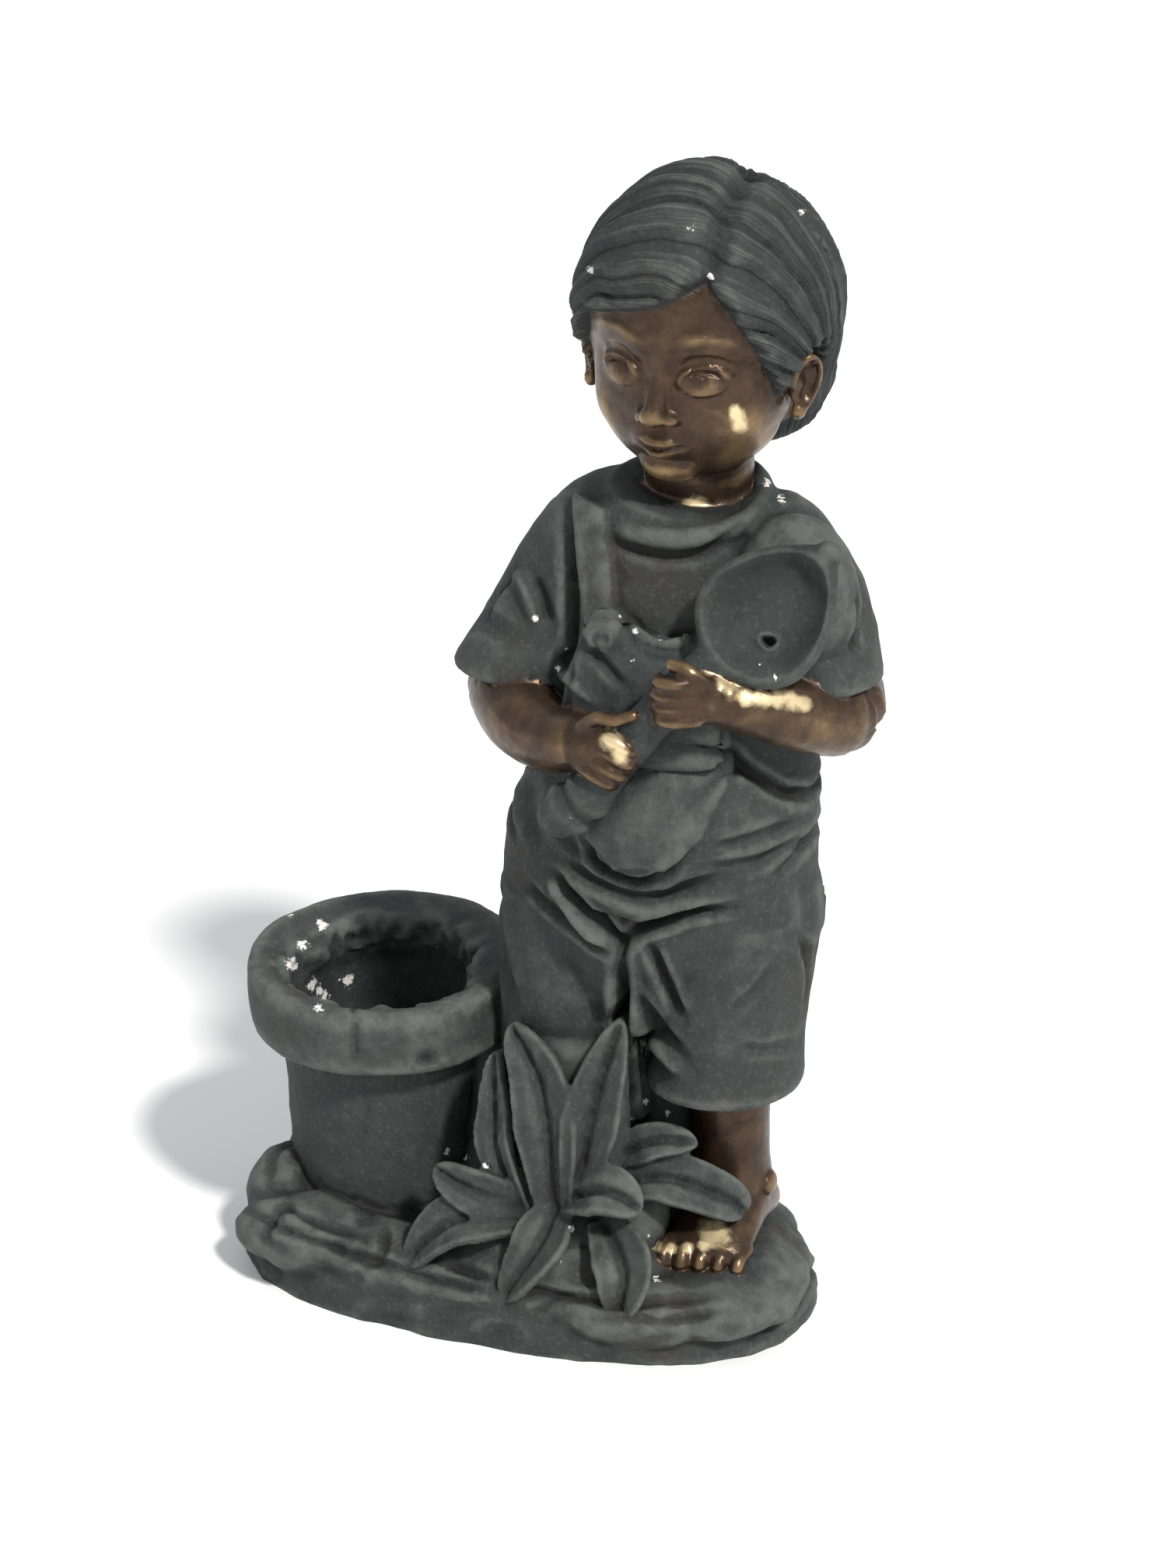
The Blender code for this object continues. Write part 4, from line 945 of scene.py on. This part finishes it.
def strand_phase(spots):
    """Numbers the locks: they fan from the parting to the ears in front, and from the crown behind."""
    front = np.arctan2(spots[:, 1] - 1.0, spots[:, 2] + 4.0)
    seam = math.atan2(CROWN[1] - 1.0, 13.5)
    behind = np.arctan2(np.abs(spots[:, 0] - CROWN[0]), spots[:, 1] - CROWN[1])
    stray = 0.55 * grain(spots, 4.6, 3.0) + 0.22 * grain(spots, 1.9, 5.0)
    return np.where(front < seam, (front - seam) * LOCKS, (math.pi / 2 - behind) * 0.6 * LOCKS) + stray


def hair_cover(spots, lock):
    """How much each point of the head lies under hair, from 0 to 1."""
    angles, heights = zip(*HAIRLINE)
    line = np.interp(np.degrees(np.arctan2(spots[:, 0], -spots[:, 1])), angles, heights)
    return eased((spots[:, 2] - line - 0.5 * lock) / 1.1 + 0.4)


def may_be_hair(spots):
    """True above the neck, and on the masses of hair that hang lower."""
    made = spots[:, 2] > HAIR_LOWEST
    for middle, radii in HAIR_MASSES:
        made |= np.abs(np.linalg.norm((spots - middle) / np.array(radii), axis=1) - 1) < 0.08
    return made


def hair_shell(clay):
    """The cap of side-parted hair in thick locks, with a notch along the parting."""
    start = len(clay.form.verts)
    bmesh.ops.create_icosphere(clay.form, subdivisions=6, radius=1.0)
    clay.form.verts.ensure_lookup_table()
    verts = clay.form.verts[start:]
    ways = np.array([vert.co[:] for vert in verts])
    spots = HAIR_MIDDLE + ways * HAIR_SIZE
    lock = np.abs(np.sin(strand_phase(spots))) ** 0.7
    over = hair_cover(spots, lock)
    side = spots[:, 0] - parting(spots)
    top = np.clip(ways[:, 2] + 0.1, 0, 1) * (spots[:, 1] < CROWN[1] + 1)
    lift = HAIR_THICK + LOCK_DEPTH * (lock - 0.6) + 0.4 * np.exp(-((side + 4.0) / 4.0) ** 2) * top
    notch = PARTING_DEPTH * np.exp(-((side / PARTING_WIDTH) ** 2))
    lift -= notch * top + 0.35 * np.clip(side / 3, 0, 1) * top
    push = lift * over - 1.6 * (1 - over)
    for vert, place in zip(verts, spots + ways * (1, 1, 0.9) * push[:, None]):
        vert.co = place


def under_hair(spots):
    """The points brought to the form under the hair, and how far out they lay as a share of it."""
    ways = (spots - HAIR_MIDDLE) / HAIR_SIZE
    far = np.linalg.norm(ways, axis=1)
    return HAIR_MIDDLE + ways / far[:, None] * HAIR_SIZE, far


def comb_hair(clay):
    """Fine strands along the locks, two sizes of them."""
    spots, far = under_hair(clay.spots)
    phase = strand_phase(spots)
    hair = hair_cover(spots, 0.5) * eased((far - 1.0) / 0.06) * may_be_hair(clay.spots)
    calm = eased(np.hypot(spots[:, 0] - CROWN[0], spots[:, 1] - CROWN[1]) / 4)
    uneven = 0.7 + 0.6 * grain(spots, 2.6, 9.0)
    strands = 0.26 * np.abs(np.sin(2.5 * phase + 0.4)) + 0.17 * np.abs(np.sin(5.5 * phase))
    clay.spots += clay.ways * (hair * calm * uneven * (strands - 0.18))[:, None]
    clay.write()


def shape_face(clay):
    """A calm child's head on plain proportions: cheeks, chin, nose and lips."""
    clay.ball((0, 1.0, 0.4), (8.9, 9.9, 9.8))
    clay.ball((0, -1.1, -3.8), (8.2, 7.5, 7.6))
    clay.ball((0, -1.8, -6.6), (7.3, 6.4, 5.4))
    clay.ball((0, -5.9, -9.4), (2.8, 2.3, 2.0))
    clay.ball((0, -6.5, -6.9), (3.3, 2.2, 2.6))
    clay.pair((3.7, -3.9, -5.3), (3.6, 3.5, 3.5))
    clay.loft([(0, -7.5, 0.4, 1.0, 0.9), (0, -8.2, -2.0, 0.8, 0.9), (0, -9.1, -4.0, 0.9, 0.9)])
    clay.ball((0, -9.3, -4.5), (1.1, 1.05, 0.95))
    clay.pair((1.05, -8.7, -4.85), (0.75, 0.9, 0.65))
    clay.loft([(-1.9, -7.9, -7.25, 0.25, 0.25), (-0.8, -8.6, -6.95, 0.42, 0.42), (0, -8.65, -7.1, 0.4, 0.4),
               (0.8, -8.6, -6.95, 0.42, 0.42), (1.9, -7.9, -7.25, 0.25, 0.25)], sides=14)
    clay.loft([(-1.6, -7.9, -7.65, 0.25, 0.25), (0, -8.55, -7.95, 0.55, 0.55),
               (1.6, -7.9, -7.65, 0.25, 0.25)], sides=14)


def shape_ear(clay, side):
    """An ear with its plate, its rolled outer edge and its lobe, its back edge standing out."""
    clay.ball((side * 9.2, -0.9, -3.6), (0.55, 1.6, 2.3), (-8, 0, -side * 25))
    rim = [(8.7, -2.3, -3.4), (9.0, -2.1, -2.2), (9.5, -1.3, -1.5), (10.0, -0.5, -2.1), (10.0, -0.2, -3.5),
           (9.6, -0.7, -4.9), (9.1, -1.4, -5.8)]
    clay.loft([(side * x, y, z, 0.42, 0.42) for x, y, z in rim], facing=(0, -0.3, 1), sides=12)
    clay.ball((side * 8.9, -1.5, -5.9), (0.6, 0.8, 0.75))


def soften_face(clay):
    """Blends cheeks, brow and jaw into one smooth form, without the nose, the mouth, the ears and hair."""
    pairs = edge_pairs(clay.body.data)
    smooth = averaged(clay.spots, pairs, 90)
    side = np.abs(clay.spots[:, 0])
    low = clay.spots[:, 2]
    share = np.maximum(eased((side - 2.0) / 1.4), eased((low + 1.5) / 1.5))
    share *= eased((8.5 - side) / 0.8) * eased((-1.0 - clay.spots[:, 1]) / 1.5) * eased((low + 11.5) / 1.5)
    share *= 1 - hair_cover(clay.spots, 0.5)
    clay.spots += (smooth - clay.spots) * share[:, None]
    clay.write()


def carve_eyes(clay):
    """The sockets, the eyeballs, the lids and the low brows."""
    for side in (-1, 1):
        clay.stroke([(side * 2.2, -1.0), (side * 3.6, -1.1), (side * 5.2, -1.5)], 1.2, 0.75, FACE,
                    FACE_DEPTH, bank=0, ends=0.6)
    clay.write()
    for side in (-1, 1):
        clay.dome((side * 3.5, -1.7), (2.1, 1.4), 0.7, FACE, FACE_DEPTH)
    clay.write()
    for side in (-1, 1):
        for path, width, depth in (
            ([(1.6, -2.0), (2.4, -0.95), (3.5, -0.6), (4.6, -0.95), (5.5, -2.0)], 0.26, -0.34),
            ([(1.8, -1.9), (2.6, -1.2), (3.5, -0.98), (4.5, -1.3), (5.3, -2.0)], 0.13, 0.2),
            ([(1.7, -2.1), (2.6, -2.65), (3.5, -2.8), (4.5, -2.6), (5.4, -2.1)], 0.24, -0.09),
            ([(1.8, -0.6), (2.9, 0.15), (4.2, 0.15), (5.6, -0.7)], 0.22, 0.14),
            ([(1.5, 1.2), (3.2, 1.9), (4.9, 1.7), (6.3, 0.8)], 0.5, -0.26),
            ([(2.9, -1.75), (3.4, -1.25), (3.9, -1.75), (3.4, -2.25), (2.9, -1.75)], 0.12, 0.1),
            ([(3.35, -1.65), (3.45, -1.75)], 0.2, 0.12),
        ):
            clay.stroke([(side * x, z) for x, z in path], width, depth, FACE, FACE_DEPTH, bank=0, ends=0.3)


def carve_face(clay):
    """The eyes, the crease between the lips, the nostrils and the ears' hollows."""
    soften_face(clay)
    carve_eyes(clay)
    near = {"sight": FACE, "near": FACE_DEPTH}
    clay.stroke([(-2.1, -7.35), (-0.9, -7.4), (0, -7.55), (0.9, -7.4), (2.1, -7.35)], 0.17, 0.4, **near)
    clay.stroke([(0, -5.8), (0, -6.4)], 0.3, 0.07, bank=0, **near)
    clay.stroke([(-1.4, -9.1), (0, -9.0), (1.4, -9.1)], 0.5, 0.16, bank=0, **near)
    for side in (-1, 1):
        clay.stroke([(side * 0.5, -5.3), (side * 0.85, -5.35)], 0.2, 0.4, bank=0, ends=1, **near)
    for sight, near in ((EAR_SIDE, (6, 30)), (OTHER_EAR_SIDE, (-30, -6))):
        clay.stroke([(-1.1, -2.9), (-0.9, -3.8), (-1.3, -4.6)], 0.6, 0.7, sight, near, bank=0, ends=1)
        clay.stroke([(-1.6, -2.2), (-0.6, -1.9), (-0.5, -3.2)], 0.28, 0.3, sight, near, bank=0)
    clay.write()


def head_matrix():
    turning = Euler([math.radians(a) for a in (HEAD_NOD, HEAD_TILT, HEAD_TURN)], "XYZ")
    return Matrix.Translation(HEAD_PLACE) @ turning.to_matrix().to_4x4()


def model_head():
    """The head with its face, ears and hair, turned into place."""
    clay = Lumps("head")
    shape_face(clay)
    for side in (-1, 1):
        shape_ear(clay, side)
    hair_shell(clay)
    for middle, radii in HAIR_MASSES:
        clay.ball(middle, radii)
    clay.ball((0, -0.8, -12.0), (4.5, 4.3, 7.5))
    made = clay.fuse(0.19, 2)
    carve_face(made)
    comb_hair(made)
    made.roughen(1.2, 0.03, 8.0)
    made.write()
    made.turn(head_matrix())
    return made


def trim_ground(body):
    """Cuts off all that lies below the flat underside and closes it."""
    make_active(body)
    bpy.ops.object.mode_set(mode="EDIT")
    bpy.ops.mesh.select_all(action="SELECT")
    bpy.ops.mesh.bisect(
        plane_co=(0, 0, GROUND), plane_no=(0, 0, 1), use_fill=True, clear_inner=True, clear_outer=False
    )
    bpy.ops.object.mode_set(mode="OBJECT")


def thin(body, triangles):
    """Fewer faces where the form is smooth, down to this many triangles."""
    body.data.calc_loop_triangles()
    count = len(body.data.loop_triangles)
    if count > triangles:
        apply_modifier(body, "Thin", "DECIMATE", ratio=triangles / count)


def cast(parts):
    """All the parts as one closed body."""
    whole = parts[0]
    for part in parts[1:]:
        apply_modifier(whole, "Join", "BOOLEAN", operation="UNION", solver="MANIFOLD", object=part)
        bpy.data.objects.remove(part)
    trim_ground(whole)
    return whole


def edge_pairs(mesh):
    pairs = np.empty(len(mesh.edges) * 2, np.int64)
    mesh.edges.foreach_get("vertices", pairs)
    return pairs.reshape(-1, 2)


def averaged(values, pairs, rounds):
    """Values at the points, each mixed with those at the other ends of its edges, several times."""
    count = len(values)
    a, b = pairs[:, 0], pairs[:, 1]
    degree = np.bincount(a, minlength=count) + np.bincount(b, minlength=count)
    degree = np.maximum(degree, 1)
    flat = values.reshape(count, -1)
    for _ in range(rounds):
        total = np.stack([
            np.bincount(a, column[b], count) + np.bincount(b, column[a], count) for column in flat.T
        ], 1)
        flat = 0.4 * flat + 0.6 * total / degree[:, None]
    return flat.reshape(values.shape)


def ridges(clay, pairs, rounds, size):
    """How much each point stands out of its surroundings, from -1 in a hollow to 1 on a ridge."""
    spots = averaged(clay.spots, pairs, rounds)
    out = ((clay.spots - spots) * clay.ways).sum(1)
    return np.clip(averaged(out, pairs, 2) / size, -1, 1)


def nearness(spots, skins, reach):
    """1 for each point that lies on one of the skins, 0 for those further off than reach."""
    made = np.zeros(len(spots))
    for tree in skins:
        found = [tree.find_nearest(Vector(p), 2 * reach)[3] for p in spots]
        away = np.array([2 * reach if gap is None else gap for gap in found])
        made = np.maximum(made, np.clip(2 - away / reach, 0, 1))
    return made


def tree_of(clay):
    mesh = clay.body.data
    return BVHTree.FromPolygons([v.co[:] for v in mesh.vertices], [p.vertices[:] for p in mesh.polygons])


# White plaster shows at these chips: places seen from the front, and their sizes in units
CHIPS = (
    (8.5, 92.2, 0.5), (18.2, 92.4, 0.4), (16.7, 96.2, 0.5), (25.2, 98.0, 0.5), (22.9, 76.7, 0.5),
    (24.1, 75.6, 0.5), (3.7, 63.4, 0.5), (6.4, 61.1, 0.45), (5.8, 59.4, 0.45), (6.9, 8.5, 0.6),
    (6.1, 5.3, 0.5), (5.3, 4.0, 0.4), (13.9, 9.1, 0.5), (14.5, 5.1, 0.5), (22.5, 61.7, 0.4),
    (23.9, 60.9, 0.4), (13.4, 21.8, 0.5), (15.3, 21.1, 0.4), (-18.9, 34.3, 0.94), (-15.7, 33.4, 0.81),
    (-17.6, 31.3, 0.81), (-18.7, 29.3, 0.94), (-16.9, 27.7, 0.94), (-15.9, 27.1, 0.81), (-13.5, 28.6, 0.94),
    (-16.3, 25.6, 0.81), (-6.0, 12.6, 0.4), (-5.2, 13.3, 0.4), (-2.8, 13.6, 0.5),
    (-4.6, 14.0, 0.5), (-1.0, 13.2, 0.4), (11.0, 64.4, 0.35),
    (12.3, 63.3, 0.35), (14.4, 62.9, 0.35), (16.4, 63.4, 0.35),
)

# Painted highlights in pale gold on the skin: places seen from the front, and their sizes in units
PAINTED_HIGHLIGHTS = (
    (21.5, 58.9, 0.7), (22.8, 59.0, 0.7), (24.1, 59.1, 0.7), (25.3, 59.1, 0.7), (26.3, 59.0, 0.6),
    (20.0, 60.0, 0.9), (18.4, 61.2, 0.7), (10.3, 53.8, 0.9), (11.0, 52.6, 0.7), (17.3, 73.9, 1.0),
    (15.6, 72.9, 0.8), (13.2, 72.6, 0.6), (19.5, 10.6, 1.2), (14.5, 8.3, 0.5), (15.8, 8.3, 0.5),
    (17.2, 8.6, 0.5), (18.7, 9.2, 0.5), (20.3, 82.1, 0.55), (20.7, 81.1, 0.6),
)


def seen_marks(clay, places_and_sizes):
    """1 in the middle of each spot that is seen from the front, falling to 0 at twice its size."""
    places, faces = clay.facing(FRONT, (-40, 9))
    marks = np.zeros(len(places))
    for x, z, size in places_and_sizes:
        away = np.hypot(places[:, 0] - x, places[:, 1] - z)
        marks = np.maximum(marks, np.clip(1 - 0.5 * away / size, 0, 1))
    return marks * (faces > 0.05)


def make_parts():
    """Each part by name, in the order in which they are joined, within its number of triangles."""
    parts = {}
    for name, model, triangles in (
        ("clothes", model_clothes, 62000),
        ("arms", model_arms, 22000),
        ("shovel", model_shovel, 12000),
        ("foot", model_foot, 8000),
        ("head", model_head, 46000),
        ("plant", model_plant, 40000),
        ("base", model_base, 24000),
        ("pot", model_pot, 30000),
    ):
        part = model()
        thin(part.body, triangles)
        part.read()
        parts[name] = part
    return parts


def hair_marks(spots):
    """How much each point lies under hair and not on an ear, and the number of its strand."""
    back_to_head = np.array(head_matrix().inverted())
    local = spots @ back_to_head[:3, :3].T + back_to_head[:3, 3]
    form = under_hair(local)[0]
    ear = (np.abs(local[:, 0]) > EAR_OUT) & (np.abs(local[:, 1:] - EAR_MIDDLE) < EAR_HALF).all(1)
    hair = hair_cover(form, 0.5) * may_be_hair(local)
    return np.where(ear, 0, hair), strand_phase(form)


def mark_statue(whole, bare, head):
    """Marks bare skin, ridges, chips, painted highlights and hair on the points for the paint."""
    clay = Clay(whole)
    pairs = edge_pairs(whole.data)
    on_head = nearness(clay.spots, [head], TOUCHING)
    hair, strand = hair_marks(clay.spots)
    skin = np.maximum(nearness(clay.spots, bare, TOUCHING), on_head * (1 - hair))
    for name, values in (
        ("bare_skin", averaged(skin, pairs, 1)),
        ("ridge", ridges(clay, pairs, 6, 0.12)),
        ("broad_ridge", ridges(clay, pairs, 60, 0.8)),
        ("chip", seen_marks(clay, CHIPS)),
        # pale gold painted highlights on the skin
        ("painted_highlight", seen_marks(clay, PAINTED_HIGHLIGHTS)),
        ("strand", strand),
        ("hair", on_head * hair),
    ):
        layer = whole.data.attributes.new(name, "FLOAT", "POINT")
        layer.data.foreach_set("value", values.astype(np.float32))


def model_statue():
    """The finished statue as one marked mesh in metres."""
    parts = make_parts()
    bare = [tree_of(parts["arms"]), tree_of(parts["foot"])]
    head = tree_of(parts["head"])
    whole = cast([part.body for part in parts.values()])
    thin(whole, TRIANGLES)
    mark_statue(whole, bare, head)
    whole.data.transform(Matrix.Scale(UNIT, 4) @ Matrix.Translation((0, 0, -GROUND)))
    whole.name = "statue"
    whole.data.name = "statue"
    return whole


class Paint:
    """A material's nodes, added one after another."""

    def __init__(self, name):
        self.material = bpy.data.materials.new(name)
        self.material.use_nodes = True
        self.tree = self.material.node_tree
        self.shader = self.tree.nodes["Principled BSDF"]
        place = self.tree.nodes.new("ShaderNodeTexCoord")
        self.place = place.outputs["Object"]

    def wire(self, value, socket):
        if isinstance(value, bpy.types.NodeSocket):
            self.tree.links.new(value, socket)
        else:
            socket.default_value = value

    def mark(self, name):
        node = self.tree.nodes.new("ShaderNodeAttribute")
        node.attribute_name = name
        return node.outputs["Fac"]

    def noise(self, size_mm, detail=4.0, rough=0.55):
        node = self.tree.nodes.new("ShaderNodeTexNoise")
        self.wire(self.place, node.inputs["Vector"])
        node.inputs["Scale"].default_value = 1000.0 / size_mm
        node.inputs["Detail"].default_value = detail
        node.inputs["Roughness"].default_value = rough
        return node.outputs["Fac"]

    def strands(self):
        """Fine hairs: noise along the number that each strand of hair has."""
        node = self.tree.nodes.new("ShaderNodeTexNoise")
        node.noise_dimensions = "1D"
        self.wire(self.mark("strand"), node.inputs["W"])
        node.inputs["Scale"].default_value = 5.0
        node.inputs["Detail"].default_value = 2.0
        return node.outputs["Fac"]

    def cells(self, size_mm):
        node = self.tree.nodes.new("ShaderNodeTexVoronoi")
        self.wire(self.place, node.inputs["Vector"])
        node.inputs["Scale"].default_value = 1000.0 / size_mm
        return node.outputs["Distance"]

    def math(self, kind, a, b=0.0):
        node = self.tree.nodes.new("ShaderNodeMath")
        node.operation = kind
        self.wire(a, node.inputs[0])
        self.wire(b, node.inputs[1])
        return node.outputs[0]

    def plus(self, a, b):
        return self.math("ADD", a, b)

    def times(self, a, b):
        return self.math("MULTIPLY", a, b)

    def span(self, value, low, high, to_low=0.0, to_high=1.0):
        node = self.tree.nodes.new("ShaderNodeMapRange")
        node.interpolation_type = "SMOOTHSTEP"
        for key, number in (("From Min", low), ("From Max", high), ("To Min", to_low), ("To Max", to_high)):
            node.inputs[key].default_value = number
        self.wire(value, node.inputs["Value"])
        return node.outputs["Result"]

    def mix(self, share, a, b):
        node = self.tree.nodes.new("ShaderNodeMix")
        node.data_type = "RGBA"
        self.wire(share, node.inputs[0])
        self.wire(a, node.inputs[6])
        self.wire(b, node.inputs[7])
        return node.outputs[2]

    def bump(self, height, distance_mm, strength=1.0, normal=None):
        node = self.tree.nodes.new("ShaderNodeBump")
        self.wire(strength, node.inputs["Strength"])
        node.inputs["Distance"].default_value = distance_mm / 1000
        self.wire(height, node.inputs["Height"])
        if normal is not None:
            self.wire(normal, node.inputs["Normal"])
        return node.outputs["Normal"]


def slate_colour(paint, mottle, ridge, broad):
    """Slate green with brown patches and dust, paler on ridges as rubbed wear and partly as painted
    highlight, darker in hollows as painted shade, and darker in some strands of the hair.
    """
    patchy = paint.noise(60, 5.0, 0.6)
    dust = paint.span(paint.noise(2.2, 5.0, 0.7), 0.5, 0.72, 0, 0.5)
    slate = paint.mix(paint.span(mottle, 0.3, 0.75), (0.022, 0.027, 0.0265, 1), (0.036, 0.043, 0.0415, 1))
    slate = paint.mix(paint.span(patchy, 0.48, 0.7, 0, 0.6), slate, (0.038, 0.031, 0.027, 1))
    slate = paint.mix(dust, slate, (0.085, 0.094, 0.089, 1))
    # Paler on ridges: partly rubbed wear, partly a painted highlight
    wear_and_highlight = paint.plus(paint.span(ridge, 0.15, 1.0), paint.span(broad, 0.3, 1.0, 0, 0.35))
    wear_and_highlight = paint.times(wear_and_highlight, paint.span(mottle, 0.3, 0.65, 0.3, 1))
    slate = paint.mix(paint.times(wear_and_highlight, 0.55), slate, (0.12, 0.13, 0.12, 1))
    # Painted shade: darker in creases and hollows, where shade falls
    deep = paint.plus(paint.span(ridge, -0.05, -0.9), paint.span(broad, -0.15, -0.9, 0, 0.5))
    deep = paint.math("MINIMUM", paint.times(deep, 0.7), 0.85)
    slate = paint.mix(deep, slate, (0.008, 0.008, 0.0075, 1))
    combed_dark = paint.times(paint.mark("hair"), paint.span(paint.strands(), 0.6, 0.35, 0, 0.5))
    return paint.mix(combed_dark, slate, (0.012, 0.014, 0.014, 1))


def bronze_colour(paint, mottle, ridge, broad):
    """Dark bronze, paler on its ridges as rubbed wear and partly as painted highlight, with painted pale
    gold highlights at the highlight marks.
    """
    bronze = paint.mix(paint.span(mottle, 0.3, 0.72), (0.042, 0.026, 0.018, 1), (0.082, 0.050, 0.031, 1))
    # Paler gold-brown on ridges: partly rubbed wear, partly a painted highlight
    rub_and_highlight = paint.plus(paint.span(broad, 0.5, 1.0, 0, 0.15), paint.span(ridge, 0.35, 1.0, 0, 0.5))
    rub_and_highlight = paint.times(rub_and_highlight, paint.span(mottle, 0.3, 0.7, 0.4, 1))
    bronze = paint.mix(paint.math("MINIMUM", rub_and_highlight, 0.6), bronze, (0.36, 0.24, 0.12, 1))
    # Painted highlights: pale gold at the listed highlight spots, broken up by noise
    painted_highlight = paint.plus(paint.mark("painted_highlight"), paint.times(paint.noise(5, 4.0, 0.65), 0.7))
    return paint.mix(paint.span(painted_highlight, 0.62, 1.1), bronze, (0.80, 0.64, 0.38, 1))


def chip_share(paint, ridge):
    """Where white plaster shows: at the chip marks, and in stray specks off the hollows."""
    white = paint.plus(paint.mark("chip"), paint.times(paint.noise(3.4, 5.0, 0.75), 1.5))
    stray = paint.times(paint.span(paint.noise(7, 5.0, 0.7), 0.735, 0.75), paint.span(ridge, 0.0, 0.3))
    return paint.math("MAXIMUM", paint.span(white, 1.45, 1.51), stray)


def fine_relief(paint, mottle, bare):
    """The grain of the paint, the combed strands and the pits, calmer on bare skin."""
    fine = paint.noise(1.6, 3.0, 0.6)
    pits = paint.span(paint.cells(2.6), 0.0, 0.22)
    matt = paint.span(bare, 0.0, 1.0, 1.0, 0.35)
    coarse = paint.bump(mottle, 0.5, 0.5)
    small = paint.bump(fine, 0.35, matt, coarse)
    combed = paint.bump(paint.strands(), 0.8, paint.mark("hair"), small)
    return paint.bump(pits, 0.25, paint.times(matt, 0.35), combed)


def statue_paint():
    """Matt slate green clothes and hair, glossier bronze skin and white chips."""
    paint = Paint("weathered_paint")
    ridge = paint.mark("ridge")
    broad = paint.mark("broad_ridge")
    mottle = paint.noise(9, 6.0, 0.65)
    bare = paint.span(paint.mark("bare_skin"), 0.35, 0.65)
    slate = slate_colour(paint, mottle, ridge, broad)
    bronze = bronze_colour(paint, mottle, ridge, broad)
    colour = paint.mix(bare, slate, bronze)
    colour = paint.mix(chip_share(paint, ridge), colour, (0.72, 0.70, 0.66, 1))
    painted = paint.span(mottle, 0.3, 0.7, 0.72, 0.86)
    glossy = paint.span(mottle, 0.3, 0.7, 0.36, 0.27)
    rough = paint.plus(paint.times(painted, paint.math("SUBTRACT", 1.0, bare)), paint.times(glossy, bare))
    paint.shader.inputs["Specular IOR Level"].default_value = 0.35
    paint.wire(colour, paint.shader.inputs["Base Color"])
    paint.wire(rough, paint.shader.inputs["Roughness"])
    paint.wire(paint.times(bare, 0.6), paint.shader.inputs["Metallic"])
    paint.wire(fine_relief(paint, mottle, bare), paint.shader.inputs["Normal"])
    return paint.material


def floor_paint():
    paint = Paint("pale_floor")
    tone = paint.mix(paint.noise(400, 3.0), (0.86, 0.86, 0.86, 1), (0.89, 0.89, 0.89, 1))
    paint.wire(tone, paint.shader.inputs["Base Color"])
    paint.shader.inputs["Roughness"].default_value = 0.9
    return paint.material


def aim(thing, target):
    way = Vector(target) - thing.location
    thing.rotation_euler = way.to_track_quat("-Z", "Y").to_euler()


def set_lights():
    """The key light from the upper right, and the even light from all round."""
    light = bpy.data.lights.new("key", "SUN")
    light.energy = KEY_STRENGTH
    light.angle = math.radians(KEY_SOFT_DEG)
    light.color = (1.0, 0.985, 0.96)
    lamp = add_object("key", light)
    lamp.location = KEY_PLACE
    aim(lamp, KEY_LOOKS_AT)
    world = bpy.data.worlds.new("studio")
    world.use_nodes = True
    sky = world.node_tree.nodes["Background"]
    sky.inputs["Color"].default_value = (0.97, 0.985, 1.0, 1)
    sky.inputs["Strength"].default_value = SKY_STRENGTH
    bpy.context.scene.world = world


def set_camera():
    """The camera at the photograph's viewing angle."""
    lens = bpy.data.cameras.new("camera")
    lens.sensor_fit = "VERTICAL"
    lens.sensor_width = CAMERA_SENSOR
    lens.sensor_height = CAMERA_SENSOR
    lens.lens = CAMERA_LENS
    lens.shift_x, lens.shift_y = CAMERA_SHIFT
    lens.clip_end = 60
    camera = add_object("camera", lens)
    camera.location = CAMERA_PLACE
    aim(camera, CAMERA_LOOKS_AT)
    bpy.context.scene.camera = camera


def set_stage():
    """The pale floor, the lights and the camera."""
    deselect()
    bpy.ops.mesh.primitive_plane_add(size=16, location=(0, 0, 0))
    floor = bpy.context.object
    floor.name = "floor"
    floor.data.materials.append(floor_paint())
    set_lights()
    set_camera()
    bpy.context.scene.view_settings.view_transform = "Standard"


statue = model_statue()
statue.data.materials.clear()
statue.data.materials.append(statue_paint())
make_active(statue)
bpy.ops.object.shade_smooth()
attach(statue, "root")
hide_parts(NODE)
set_stage()
